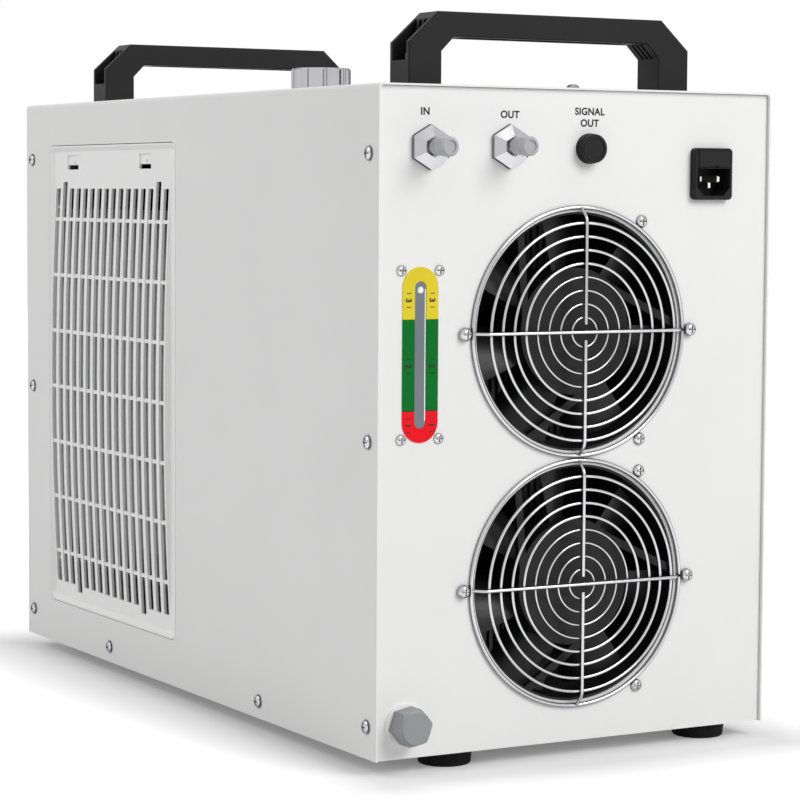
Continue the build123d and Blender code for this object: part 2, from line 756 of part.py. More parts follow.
def louvre_band(plate_x, depth, y0, y1):
    low, high = LOUVRE_LOW, LOUVRE_HIGH
    outer = ThreePointArc((plate_x, 0, low), (plate_x + LOUVRE_RISE, 0, LOUVRE_Z), (plate_x, 0, high))
    back = plate_x - LOUVRE_T
    if depth:
        inner = ThreePointArc((back, 0, high), (back + LOUVRE_RISE, 0, LOUVRE_Z), (back, 0, low))
    else:
        inner = Line((back, 0, high), (back, 0, low))
    outline = outer + Line((plate_x, 0, high), (back, 0, high)) + inner
    outline += Line((back, 0, low), (plate_x, 0, low))
    return Pos(0, y1, 0) * extrude(make_face(outline), amount=y1 - y0, dir=(0, -1, 0))


def slot_span(k):
    low = LOUVRE_LOW + SLOT_SHORT - (SLOT_EXTRA if k in TALL_LOW_SLOTS else 0)
    high = LOUVRE_HIGH - SLOT_SHORT + (SLOT_EXTRA if k in TALL_TOP_SLOTS else 0)
    y = SLOT_Y0 + k * SLOT_PITCH
    return y, low, high


def make_door():
    plate_x = SIDE - DOOR_BEVEL
    door = sideward(door_outline(0), SIDE - DOOR_DEPTH, DOOR_Y, DOOR_Z, DOOR_DEPTH)
    bevel = Plane(origin=(SIDE, DOOR_Y, DOOR_Z), x_dir=(0, 1, 0), z_dir=(1, 0, 0)) * door_outline(-DOOR_RIM)
    door -= extrude(bevel, amount=-DOOR_BEVEL, taper=45)
    back = plate_x - DOOR_PLATE
    door -= sideward(door_outline(-DOOR_WALL), SIDE - DOOR_DEPTH, DOOR_Y, DOOR_Z, back - (SIDE - DOOR_DEPTH))
    y0 = SLOT_Y0 - SLOT_MARGIN
    y1 = slot_span(SLOT_COUNT - 1)[0] + SLOT_W + SLOT_MARGIN
    door -= block(back - PAST, plate_x + PAST, y0, y1, LOUVRE_LOW + PAST, LOUVRE_HIGH - PAST)
    louvre = louvre_band(plate_x, True, y0, y1)
    slots = []
    for k in range(SLOT_COUNT):
        y, low, high = slot_span(k)
        slots.append(block(back - DOOR_DEPTH / 2, SIDE + 2 * LOUVRE_RISE, y, y + SLOT_W, low, high))
    door = door + louvre - slots
    door += louvre_band(plate_x, False, y0, y0 + SLOT_CHEEK)
    door += louvre_band(plate_x, False, y1 - SLOT_CHEEK, y1)
    for k in range(BAR_COUNT):
        z = LOUVRE_Z + (k - (BAR_COUNT - 1) / 2) * BAR_PITCH
        face = plate_x + louvre_face(z) - BAR_SUNK
        door += block(face - LOUVRE_T, face, y0 + BAR_SEAT, y1 - BAR_SEAT, z - BAR_H / 2, z + BAR_H / 2)
    for y in LATCH_Y:
        door = add_latch(door, y, plate_x, back)
    return add_mesh_ledges(door, back)


def add_latch(door, y, plate_x, back):
    half_w, low, high = LATCH_W / 2, LATCH_Z - LATCH_H / 2, LATCH_Z + LATCH_H / 2
    door -= block(back - PAST, plate_x + PAST, y - half_w, y + half_w, low, high)
    foot = low + LATCH_SLOT
    half_t = LATCH_TONGUE / 2
    tongue = block(back - half_t, back + half_t, y - half_w, y + half_w, foot, high + LATCH_ROOT)
    wedge_x = back + DOOR_PLATE - LATCH_WEDGE_SUNK
    wedge_y = y + LATCH_WEDGE_W / 3
    wedge = block(back, wedge_x, wedge_y - LATCH_WEDGE_W, wedge_y, foot, foot + LATCH_WEDGE_H)
    return door + tongue + wedge


def add_mesh_ledges(door, back):
    y0, y1 = mesh_span()
    for z in (MESH_Z0 - LEDGE - MESH_PLAY / 2, MESH_Z1 + MESH_PLAY / 2):
        for a, b in ((y0, y0 + LEDGE_L), (y1 - LEDGE_L, y1)):
            door += block(back - 2 * MESH_T, back + TINY, a, b, z, z + LEDGE)
    return door


def mesh_span():
    half = DOOR_W / 2 - DOOR_WALL - MESH_PLAY
    return DOOR_Y - half, DOOR_Y + half


def make_mesh():
    y0, y1 = mesh_span()
    back = SIDE - DOOR_BEVEL - DOOR_PLATE - MESH_PLAY
    return block(back - MESH_T, back, y0, y1, MESH_Z0, MESH_Z1)


def make_handle():
    shoulder_x = HANDLE_HALF - HANDLE_OUT_CHAMFER
    leg_x = HANDLE_HALF - HANDLE_LEG
    roof = HANDLE_H - HANDLE_GRIP
    half = [(leg_x - HANDLE_IN_CHAMFER, roof), (leg_x, roof - HANDLE_IN_CHAMFER), (leg_x, 0)]
    half += [(HANDLE_HALF, 0), (HANDLE_HALF, HANDLE_SHOULDER), (shoulder_x, HANDLE_H)]
    points = half + [(-x, z) for x, z in reversed(half)]
    outline = make_face(Polyline(*[(x, 0, CASE_H + z) for x, z in points], close=True))
    grip = Pos(0, HANDLE_Y + HANDLE_D / 2, 0) * extrude(outline, amount=HANDLE_D, dir=(0, -1, 0))
    faces = grip.faces().sort_by(Axis.Y)
    grip = chamfer(faces[-1].edges() + faces[0].edges(), HANDLE_EDGE)
    y0, y1 = HANDLE_Y - POCKET_W / 2, HANDLE_Y + POCKET_W / 2
    for side in (1, -1):
        floor, top = CASE_H + POCKET_FLOOR, CASE_H + HANDLE_H + PAST
        pocket = block(side * POCKET_X, side * (HANDLE_HALF + PAST), y0, y1, floor, top)
        for y in (y0 + POCKET_W / 3, y1 - POCKET_W / 3):
            rib_x = (side * POCKET_X, side * (POCKET_X + POCKET_RIB))
            pocket -= block(*rib_x, y - POCKET_RIB / 2, y + POCKET_RIB / 2, floor, top)
        grip -= pocket
        foot = (side * HANDLE_BOLT_X, HANDLE_Y, CASE_H)
        grip -= rod(foot, (0, 0, 1), HANDLE_BOLT_R + BOLT_PLAY, POCKET_FLOOR + PAST)
        for k in (-1, 0, 1):
            y = HANDLE_Y + k * GRIP_NOTCH_PITCH
            depth = GRIP_NOTCH
            ends = [(leg_x - HANDLE_IN_CHAMFER, roof), (leg_x, roof - HANDLE_IN_CHAMFER)]
            corners = ends + [(x + depth, z + depth) for x, z in reversed(ends)]
            notch = make_face(Polyline(*[(side * x, 0, CASE_H + z) for x, z in corners], close=True))
            grip -= Pos(0, y + GRIP_NOTCH_W / 2, 0) * extrude(notch, amount=GRIP_NOTCH_W, dir=(0, -1, 0))
    groove = leg_x - 2 * HANDLE_IN_CHAMFER
    grip -= block(-groove, groove, HANDLE_Y - GRIP_GROOVE_W / 2, HANDLE_Y + GRIP_GROOVE_W / 2,
                  CASE_H + roof - PAST, CASE_H + roof + GRIP_GROOVE)
    return grip


def make_handle_bolts():
    pieces = []
    for x in (HANDLE_BOLT_X, -HANDLE_BOLT_X):
        for y in (HANDLE_Y, -HANDLE_Y):
            seat = CASE_H + POCKET_FLOOR
            low = ROOF_IN - NUT_H - BOLT_PAST_NUT
            bolt = rod((x, y, seat), (0, 0, 1), HANDLE_HEAD_R, HANDLE_HEAD_H)
            recess = Plane.XY.offset(seat + HANDLE_HEAD_H / 2) * Pos(x, y) * RegularPolygon(HANDLE_HEX_R, 6)
            bolt -= extrude(recess, amount=HANDLE_H)
            bolt += rod((x, y, low), (0, 0, 1), HANDLE_BOLT_R, seat - low)
            nut_low = ROOF_IN - SEAT - NUT_H
            nut = extrude(Plane.XY.offset(nut_low) * Pos(x, y) * RegularPolygon(NUT_R, 6), amount=NUT_H)
            nut -= rod((x, y, low), (0, 0, 1), HANDLE_BOLT_R + LOCKNUT_PLAY, seat - low)
            pieces += [bolt, nut]
    return pieces


def make_filler_neck():
    top = CASE_H + NECK_RISE
    low = TANK_Z1 - TANK_WALL
    neck = rod((FILLER_X, FILLER_Y, low), (0, 0, 1), NECK_R, top - low)
    neck += rod((FILLER_X, FILLER_Y, CASE_H), (0, 0, 1), COLLAR_R, COLLAR_T)
    return neck - rod((FILLER_X, FILLER_Y, low - PAST), (0, 0, 1), NECK_BORE_R, top - low + 2 * PAST)


def make_filler_gasket():
    seat = (FILLER_X, FILLER_Y, CASE_H + COLLAR_T)
    ring = rod(seat, (0, 0, 1), COLLAR_R - GASKET_EDGE, GASKET_T)
    return ring - rod(seat, (0, 0, 1), NECK_R + SEAT, GASKET_T)


def make_filler_cap():
    low = CASE_H + COLLAR_T + GASKET_T + SEAT
    top = CASE_H + CAP_TOP
    cap = Pos(FILLER_X, FILLER_Y, (low + top) / 2) * Cylinder(CAP_R, top - low)
    cap = chamfer(cap.edges().sort_by(Axis.Z)[-1], CAP_EDGE)
    for k in range(CAP_FLUTES):
        angle = radians(CAP_FLUTE_TURN + k * 360 / CAP_FLUTES)
        x, y = FILLER_X + CAP_FLUTE_AT * cos(angle), FILLER_Y + CAP_FLUTE_AT * sin(angle)
        cap -= rod((x, y, low - PAST), (0, 0, 1), CAP_FLUTE_R, top - low + 2 * PAST)
    depth = top - CAP_ROOF - low
    return cap - rod((FILLER_X, FILLER_Y, low - PAST), (0, 0, 1), NECK_R + CAP_PLAY, depth + PAST)


def fan_outline(radius):
    return Circle(radius) & Rectangle(2 * FAN_R, 2 * FAN_FLAT)


def strut_ends(start):
    a, b = radians(start), radians(start - STRUT_TURN)
    start_point = (-STRUT_START_R * cos(a), STRUT_START_R * sin(a))
    return start_point, (-STRUT_END_R * cos(b), STRUT_END_R * sin(b))


def make_fan_housing(z):
    rear = PANEL_IN - SEAT
    front = rear - FAN_DEPTH
    body = backward(fan_outline(FAN_BARREL_R), 0, front, z, FAN_DEPTH)
    body += backward(fan_outline(FAN_R), 0, front, z, FAN_FLANGE)
    body += backward(fan_outline(FAN_R), 0, rear - FAN_FLANGE, z, FAN_FLANGE)
    body -= backward(Circle(FAN_DUCT_R), 0, front - PAST, z, FAN_DEPTH + 2 * PAST)
    for x, dz in FAN_SCREWS:
        hole = Circle(SCREW_SHANK_R + BOLT_PLAY)
        body -= backward(hole, x, front - PAST, z + dz, FAN_DEPTH + 2 * PAST)
    plate_y = rear - MOTOR_SUNK - MOTOR_PLATE
    body += backward(Circle(MOTOR_R), 0, plate_y, z, MOTOR_PLATE)
    body += backward(Circle(POST_R), 0, plate_y - POST_LENGTH, z, POST_LENGTH)
    for start in STRUT_ANGLES:
        (x0, z0), (x1, z1) = strut_ends(start)
        along = Vector(x1 - x0, 0, z1 - z0)
        plane = Plane(origin=(x0, plate_y + MOTOR_PLATE / 2, z + z0), x_dir=(0, 1, 0), z_dir=along)
        body += extrude(plane * Rectangle(MOTOR_PLATE, STRUT_W), amount=along.length)
    return body


def blade_section(radius, chord, pitch, place):
    # a bowed blade section across the radius, its chord turned out of the fan's plane by the pitch
    along_chord = (cos(radians(pitch)), sin(radians(pitch)), 0)
    plane = Plane(origin=(0, place, radius), x_dir=along_chord, z_dir=(0, 0, 1))
    bow = chord / 12
    top = ThreePointArc((-chord / 2, 0), (0, bow + BLADE_T), (chord / 2, 0))
    low = ThreePointArc((chord / 2, 0), (0, bow), (-chord / 2, 0))
    return plane * make_face(top + low)


def make_fan_rotor(z):
    rear = PANEL_IN - SEAT - MOTOR_SUNK - MOTOR_PLATE - ROTOR_GAP
    front = rear - ROTOR_H
    hub = backward(Circle(ROTOR_R), 0, front, z, ROTOR_H)
    hollow = Circle(ROTOR_R - ROTOR_WALL) - Circle(POST_R + ROTOR_WALL)
    hub -= backward(hollow, 0, front + ROTOR_WALL, z, ROTOR_H)
    middle = (front + rear) / 2
    root = blade_section(ROTOR_R - BLADE_TRIM, BLADE_ROOT_CHORD, BLADE_ROOT_PITCH, middle)
    tip = blade_section(BLADE_TIP_R + BLADE_TRIM, BLADE_TIP_CHORD, BLADE_TIP_PITCH, middle)
    sweep_room = backward(Circle(BLADE_TIP_R), 0, front, 0, ROTOR_H)
    blade = loft([root, tip]) & sweep_room
    for k in range(BLADE_COUNT):
        hub += Pos(0, 0, z) * Rot(0, k * 360 / BLADE_COUNT, 0) * blade
    return hub - backward(Circle(POST_R + ROTOR_BORE_PLAY), 0, front - PAST, z, ROTOR_H + 2 * PAST)


def wire_section(wire):
    return RegularPolygon(wire, WIRE_SIDES, major_radius=False, rotation=180 / WIRE_SIDES)


def wire_ring(radius, wire, y, z):
    return facing_back(0, y, z) * revolve(Plane.XZ * Pos(radius, 0) * wire_section(wire), axis=Axis.Z)


def wire_run(points, wire, across):
    # straight wires from point to point, each run on a little past its ends so the bends close
    run = []
    for a, b in zip(points, points[1:]):
        way = (Vector(*b) - Vector(*a)).normalized()
        start = Vector(*a) - way * (wire * BEND_OVERLAP)
        length = (Vector(*b) - Vector(*a)).length + 2 * wire * BEND_OVERLAP
        run.append(extrude(Plane(origin=start, x_dir=across, z_dir=way) * wire_section(wire), amount=length))
    return run


def make_fan_guard(z):
    rim_y = PANEL_OUT + GUARD_RIM_WIRE
    ring_y = rim_y + GUARD_RISE
    spoke_y = ring_y + GUARD_SPOKE_LIFT
    lip = GUARD_SPOKE_BEND_R
    guard = wire_ring(GUARD_R, GUARD_RIM_WIRE, rim_y, z)
    for k in range(GUARD_RINGS):
        guard += wire_ring(GUARD_RING_R0 + k * GUARD_RING_STEP, GUARD_WIRE, ring_y, z)
    level = [(-GUARD_R, rim_y, z), (-lip, spoke_y, z), (lip, spoke_y, z), (GUARD_R, rim_y, z)]
    guard += wire_run(level, GUARD_SPOKE_WIRE, (0, 0, 1))
    for up in (1, -1):
        upright = [(0, spoke_y, z + up * GUARD_GAP), (0, spoke_y, z + up * lip), (0, rim_y, z + up * GUARD_R)]
        guard += wire_run(upright, GUARD_SPOKE_WIRE, (1, 0, 0))
    for x, dz in GUARD_SCREWS:
        eyelet = Circle(EYELET_R) - Circle(EYELET_BORE_R)
        guard += backward(eyelet, x, PANEL_OUT + SEAT, z + dz, EYELET_T)
    return guard


def make_fan_screws():
    screws = []
    for z in FAN_Z:
        for x, dz in FAN_SCREWS:
            seat = PANEL_OUT + (SEAT + EYELET_T if (x, dz) in GUARD_SCREWS else 0)
            length = FAN_SCREW_LENGTH + seat - PANEL_OUT
            screw = pan_screw(FAN_SCREW_HEAD_R, FAN_SCREW_HEAD_H, SCREW_SHANK_R, length)
            screws.append(facing_back(x, seat, z + dz) * screw)
    return screws


def gauge_screw_places():
    corners = [(sx, sz) for sx in (1, -1) for sz in (1, -1)]
    return [(GAUGE_X + sx * GAUGE_SCREW_X, GAUGE_Z + sz * GAUGE_SCREW_Z) for sx, sz in corners]


def make_gauge_label():
    outline = SlotOverall(GAUGE_L, GAUGE_W, rotation=90)
    outline -= SlotOverall(GAUGE_SLOT_L, GAUGE_SLOT_W, rotation=90)
    return backward(outline, GAUGE_X, PANEL_OUT, GAUGE_Z, GAUGE_T)


def make_gauge_window():
    rear = PANEL_IN - SEAT
    flange = RectangleRounded(GAUGE_FLANGE_W, GAUGE_FLANGE_L, GAUGE_CORNER_R)
    window = backward(flange, GAUGE_X, rear - GAUGE_FLANGE_T, GAUGE_Z, GAUGE_FLANGE_T)
    for x, z in gauge_screw_places():
        window -= backward(Circle(GAUGE_SCREW_R + SEAT), x, rear - 2 * GAUGE_FLANGE_T, z, 3 * GAUGE_FLANGE_T)
    block_y = rear - GAUGE_FLANGE_T - GAUGE_BLOCK_T
    chamber = RectangleRounded(GAUGE_BLOCK_W, GAUGE_BLOCK_L, GAUGE_CORNER_R)
    window += backward(chamber, GAUGE_X, block_y, GAUGE_Z, GAUGE_BLOCK_T)
    boss = SlotOverall(GAUGE_SLOT_L - 2 * GAUGE_PLAY, GAUGE_SLOT_W - 2 * GAUGE_PLAY, rotation=90)
    window += backward(boss, GAUGE_X, rear, GAUGE_Z, PANEL + SEAT + GAUGE_T / 2)
    for z in GAUGE_PORT_Z:
        window += backward(Circle(GAUGE_NIPPLE_R), GAUGE_X, block_y - GAUGE_NIPPLE_L, z, GAUGE_NIPPLE_L)
    return window


def make_gauge_screws():
    screw = pan_screw(GAUGE_SCREW_HEAD_R, GAUGE_SCREW_HEAD_H, GAUGE_SCREW_R, GAUGE_SCREW_LENGTH)
    return [facing_back(x, PANEL_OUT, z) * screw for x, z in gauge_screw_places()]


def port_neck_end():
    return PORT_HEX_T + PORT_CONE_T + PORT_NECK_L


def make_port_fitting(x, z):
    hexagon = RegularPolygon(PORT_HEX_R, 6, rotation=30)
    fitting = backward(hexagon, x, PANEL_OUT, z, PORT_HEX_T)
    foot = back_plane(x, PANEL_OUT + PORT_HEX_T, z) * hexagon
    cone_top = PANEL_OUT + PORT_HEX_T + PORT_CONE_T
    head = back_plane(x, cone_top, z) * RegularPolygon(PORT_CONE_R, 6, rotation=30)
    fitting += loft([foot, head])
    fitting += backward(Circle(PORT_NECK_R), x, cone_top - PAST, z, PORT_NECK_L + PAST)
    fitting += backward(Circle(PORT_BARB_R), x, cone_top, z, PORT_NECK_L + PORT_BARB_L)
    fitting += backward(Circle(PORT_SHANK_R), x, PANEL_OUT - PORT_SHANK_L, z, PORT_SHANK_L)
    tail = PANEL_OUT - PORT_SHANK_L - PORT_TAIL_L
    fitting += backward(Circle(PORT_TAIL_R), x, tail, z, PORT_TAIL_L)
    return fitting - backward(Circle(PORT_BORE_R), x, tail - PAST, z, CASE_L)


def locknut(x, z, radius, hole_r, thickness):
    nut = backward(RegularPolygon(radius, 6, rotation=30), x, PANEL_IN - SEAT - thickness, z, thickness)
    return nut - backward(Circle(hole_r + LOCKNUT_PLAY), x, PANEL_IN - 2 * thickness, z, 3 * thickness)


def make_locknuts():
    nuts = [locknut(x, z, LOCKNUT_R, PORT_SHANK_R, LOCKNUT_T) for x, z in PORTS.values()]
    nuts.append(locknut(ALARM_X, ALARM_Z, ALARM_NUT_R, ALARM_BODY_R, ALARM_NUT_T))
    nuts.append(locknut(DRAIN_X, DRAIN_Z, LOCKNUT_R, DRAIN_TUBE_R, LOCKNUT_T))
    return nuts


def make_dust_cap(x, z):
    low = port_neck_end() + DUST_CAP_GAP
    length = DUST_CAP_END - low
    swell, shoulder = [share * length for share in DUST_CAP_SWELL]
    outline = [(0, 0), (DUST_CAP_NECK_R, 0), (DUST_CAP_NECK_R, swell), (DUST_CAP_R, shoulder),
               (DUST_CAP_R, length - DUST_CAP_EDGE), (DUST_CAP_R - DUST_CAP_EDGE, length), (0, length)]
    cap = turned(outline, facing_back(x, PANEL_OUT + low, z))
    bore = PORT_BARB_R + DUST_CAP_BORE_PLAY
    cap -= backward(Circle(bore), x, PANEL_OUT + low - PAST, z, length - DUST_CAP_ROOF + PAST)
    return cap - backward(Circle(DUST_CAP_DISH_R), x, PANEL_OUT + DUST_CAP_END - DUST_CAP_DISH, z, PAST)


def make_alarm_socket():
    socket = backward(Circle(ALARM_FLANGE_R), ALARM_X, PANEL_OUT, ALARM_Z, ALARM_FLANGE_T)
    low = PANEL_OUT - ALARM_BODY_L + ALARM_FLANGE_T + ALARM_SNOUT
    socket += backward(Circle(ALARM_BODY_R), ALARM_X, low, ALARM_Z, ALARM_BODY_L)
    for x in (ALARM_HOLE_X, -ALARM_HOLE_X):
        hole_y = low + ALARM_BODY_L - ALARM_HOLE_D
        socket -= backward(Circle(ALARM_HOLE_R), ALARM_X + x, hole_y, ALARM_Z, 2 * ALARM_HOLE_D)
    return socket


def make_alarm_cap():
    low = ALARM_FLANGE_T + SEAT
    step, edge = low + ALARM_CAP_KNURL, ALARM_CAP_EDGE
    outline = [(0, low), (ALARM_CAP_R, low), (ALARM_CAP_R, step), (ALARM_CAP_END_R, step + edge)]
    outline += [(ALARM_CAP_END_R, ALARM_CAP_END - edge), (ALARM_CAP_END_R - edge, ALARM_CAP_END)]
    outline.append((0, ALARM_CAP_END))
    cap = turned(outline, facing_back(ALARM_X, PANEL_OUT, ALARM_Z))
    bore = ALARM_BODY_R + ALARM_PLAY
    cap -= backward(Circle(bore), ALARM_X, PANEL_OUT, ALARM_Z, ALARM_CAP_END - ALARM_CAP_ROOF)
    dish_y = PANEL_OUT + ALARM_CAP_END - ALARM_CAP_DISH
    return cap - backward(Circle(ALARM_CAP_DISH_R), ALARM_X, dish_y, ALARM_Z, PAST)


def power_cavity():
    half_w, top = POWER_CAVITY_W / 2, POWER_CAVITY_TOP
    low = top - POWER_CAVITY_H
    corner = POWER_CHAMFER
    points = [(-half_w, top), (half_w, top), (half_w, low + corner), (half_w - corner, low)]
    points += [(corner - half_w, low), (-half_w, low + corner)]
    outline = make_face(Polyline(*[(x, -z) for x, z in points], close=True))
    face = PANEL_OUT + POWER_PROUD
    return backward(outline, POWER_X, face - POWER_CAVITY_D, POWER_Z, POWER_CAVITY_D + PAST)


def make_power_inlet():
    plate = RectangleRounded(POWER_W, POWER_H, POWER_CORNER_R)
    flange = backward(plate, POWER_X, PANEL_OUT, POWER_Z, POWER_PROUD)
    flange = chamfer(flange.faces().sort_by(Axis.Y)[-1].edges(), POWER_EDGE)
    outline = Rectangle(POWER_BODY_W, POWER_BODY_H)
    body = backward(outline, POWER_X, PANEL_OUT - POWER_BODY_L, POWER_Z, POWER_BODY_L)
    inlet = flange + body - power_cavity()
    face = PANEL_OUT + POWER_PROUD
    pocket = Rectangle(DRAWER_W + 2 * DRAWER_PLAY, DRAWER_H + 2 * DRAWER_PLAY)
    floor = face - DRAWER_D - DRAWER_PLAY
    inlet -= backward(pocket, POWER_X, floor, POWER_Z + DRAWER_Z, DRAWER_D + DRAWER_PLAY + PAST)
    for x, z in pin_places():
        hole = Rectangle(PIN_W + 2 * PIN_PLAY, PIN_H + 2 * PIN_PLAY)
        inlet -= backward(hole, x, PANEL_OUT - 2 * POWER_BODY_L, z, 2 * POWER_BODY_L)
    return inlet


def pin_places():
    row = POWER_Z + PIN_HIGH
    return [(POWER_X + PIN_X, row), (POWER_X - PIN_X, row), (POWER_X, POWER_Z + PIN_LOW)]


def make_power_pins():
    tip = PANEL_OUT + POWER_PROUD - PIN_SUNK
    tail = PANEL_OUT - POWER_BODY_L - PIN_TAIL
    pins = []
    for x, z in pin_places():
        pin = backward(Rectangle(PIN_W, PIN_H), x, tail, z, tip - tail)
        pins.append(chamfer(pin.faces().sort_by(Axis.Y)[-1].edges(), PIN_EDGE))
    return pins


def make_fuse_drawer():
    face = PANEL_OUT + POWER_PROUD + DRAWER_PROUD
    z = POWER_Z + DRAWER_Z
    outline = RectangleRounded(DRAWER_W, DRAWER_H, DRAWER_CORNER_R)
    drawer = backward(outline, POWER_X, face - DRAWER_D, z, DRAWER_D)
    half = DRAWER_W / 2 - DRAWER_WALL
    low, high = face - DRAWER_D + DRAWER_WALL, face - DRAWER_WALL - DRAWER_NOTCH
    drawer -= block(POWER_X - half, POWER_X + half, low, high, z - DRAWER_H / 4, z + DRAWER_H)
    notch = Rectangle(DRAWER_NOTCH_W, 2 * DRAWER_NOTCH)
    return drawer - backward(notch, POWER_X, face - DRAWER_NOTCH, z - DRAWER_H / 2, 2 * DRAWER_NOTCH)


def make_drain_spout():
    spout = backward(Circle(DRAIN_FLANGE_R), DRAIN_X, PANEL_OUT, DRAIN_Z, DRAIN_FLANGE_T)
    low = PANEL_OUT - DRAIN_TAIL
    spout += backward(Circle(DRAIN_TUBE_R), DRAIN_X, low, DRAIN_Z, DRAIN_TAIL + DRAIN_SNOUT)
    spout += backward(Circle(DRAIN_HOSE_R), DRAIN_X, low - PORT_TAIL_L, DRAIN_Z, PORT_TAIL_L)
    return spout - backward(Circle(DRAIN_BORE_R), DRAIN_X, low - PORT_TAIL_L - PAST, DRAIN_Z, CASE_L)


def make_drain_plug():
    low = PANEL_OUT + DRAIN_FLANGE_T + PLUG_GAP
    length = PLUG_END - DRAIN_FLANGE_T - PLUG_GAP
    plug = backward(RegularPolygon(PLUG_HEX_R, 6, rotation=PLUG_TURN), DRAIN_X, low, DRAIN_Z, length)
    rounded = [(0, 0), (PLUG_HEX_R, 0), (PLUG_HEX_R, length - PLUG_CHAMFER),
               (PLUG_HEX_R - 2 * PLUG_CHAMFER, length), (0, length)]
    plug = plug & turned(rounded, facing_back(DRAIN_X, low, DRAIN_Z))
    plug += backward(Circle(PLUG_DISC_R), DRAIN_X, low + length - PAST, DRAIN_Z, PAST + PLUG_DISC_T)
    bore_end = PANEL_OUT + DRAIN_SNOUT + PLUG_BORE_PLAY
    bore = Circle(DRAIN_TUBE_R + HOLE_PLAY)
    return plug - backward(bore, DRAIN_X, low - PAST, DRAIN_Z, bore_end - low + PAST)


def make_controller():
    face = PANEL_OUT + CTRL_PROUD
    outline = RectangleRounded(CTRL_W, CTRL_H, CTRL_CORNER_R)
    bezel = frontward(outline, CTRL_X, -PANEL_OUT, CTRL_Z, CTRL_PROUD)
    bezel = fillet(bezel.faces().sort_by(Axis.Y)[0].edges(), CTRL_EDGE)
    body_y = CTRL_BODY_D - PANEL_OUT
    bezel += frontward(Rectangle(CTRL_BODY_W, CTRL_BODY_H), CTRL_X, body_y, CTRL_Z, CTRL_BODY_D)
    window = Rectangle(CTRL_WINDOW_W + SEAT, CTRL_WINDOW_H + SEAT)
    bezel -= frontward(window, CTRL_X, CTRL_WINDOW_T - face, CTRL_Z + CTRL_WINDOW_UP, 2 * CTRL_WINDOW_T)
    for x in BUTTONS.values():
        room = Rectangle(BUTTON_W + 2 * BUTTON_PLAY, BUTTON_H + 2 * BUTTON_PLAY)
        depth = BUTTON_T + BUTTON_TRAVEL + 2 * BUTTON_PLAY - BUTTON_PROUD
        bezel -= frontward(room, CTRL_X + x, depth - face, CTRL_Z - BUTTON_DROP, CTRL_PROUD)
    return bezel


def make_controller_window():
    face = PANEL_OUT + CTRL_PROUD
    window = Rectangle(CTRL_WINDOW_W - SEAT, CTRL_WINDOW_H - SEAT)
    rear = CTRL_WINDOW_T - SEAT / 2 - face
    return frontward(window, CTRL_X, rear, CTRL_Z + CTRL_WINDOW_UP, CTRL_WINDOW_T - SEAT)


def make_button(x):
    face = PANEL_OUT + CTRL_PROUD + BUTTON_PROUD
    outline = RectangleRounded(BUTTON_W, BUTTON_H, BUTTON_CORNER_R)
    button = frontward(outline, CTRL_X + x, BUTTON_T - face, CTRL_Z - BUTTON_DROP, BUTTON_T)
    return fillet(button.faces().sort_by(Axis.Y)[0].edges(), BUTTON_EDGE)


def make_switch_housing():
    outline = RectangleRounded(SWITCH_W, SWITCH_H, SWITCH_CORNER_R)
    housing = frontward(outline, SWITCH_X, -PANEL_OUT, SWITCH_Z, SWITCH_PROUD)
    housing = chamfer(housing.faces().sort_by(Axis.Y)[0].edges(), SWITCH_EDGE)
    body_y = SWITCH_BODY_D - PANEL_OUT
    housing += frontward(Rectangle(SWITCH_BODY_W, SWITCH_BODY_H), SWITCH_X, body_y, SWITCH_Z, SWITCH_BODY_D)
    well = Rectangle(ROCKER_W + 2 * ROCKER_PLAY, ROCKER_H + 4 * ROCKER_PLAY)
    housing -= frontward(well, SWITCH_X, body_y - SWITCH_FRAME, SWITCH_Z, SWITCH_BODY_D + SWITCH_PROUD)
    inset = (SWITCH_BODY_W - ROCKER_W) / 4
    pin_end = (SWITCH_X - SWITCH_BODY_W / 2 + inset, -PANEL_OUT, SWITCH_Z)
    return housing + rod(pin_end, (1, 0, 0), ROCKER_PIN_R, SWITCH_BODY_W - 2 * inset)


def make_switch_rocker():
    # two flat paddles that meet in a shallow vee on the cross pin, resting with the lower one pushed in
    face, half = SWITCH_PROUD + ROCKER_PROUD, ROCKER_H / 2
    tip = face + half * sin(radians(ROCKER_TILT))
    points = [(-half, tip), (0, face), (half, tip), (half, tip - ROCKER_T), (0, face - 2 * ROCKER_T)]
    points.append((-half, tip - ROCKER_T))
    outline = make_face(Polyline(*[(0, -y, z) for z, y in points], close=True))
    paddle = Pos(ROCKER_W / 2, 0, 0) * extrude(outline, amount=ROCKER_W, dir=(-1, 0, 0))
    paddle -= rod((-ROCKER_W, 0, 0), (1, 0, 0), ROCKER_PIN_R + ROCKER_PIN_PLAY, 2 * ROCKER_W)
    return Pos(SWITCH_X, -PANEL_OUT, SWITCH_Z) * Rot(ROCKER_TILT, 0, 0) * paddle


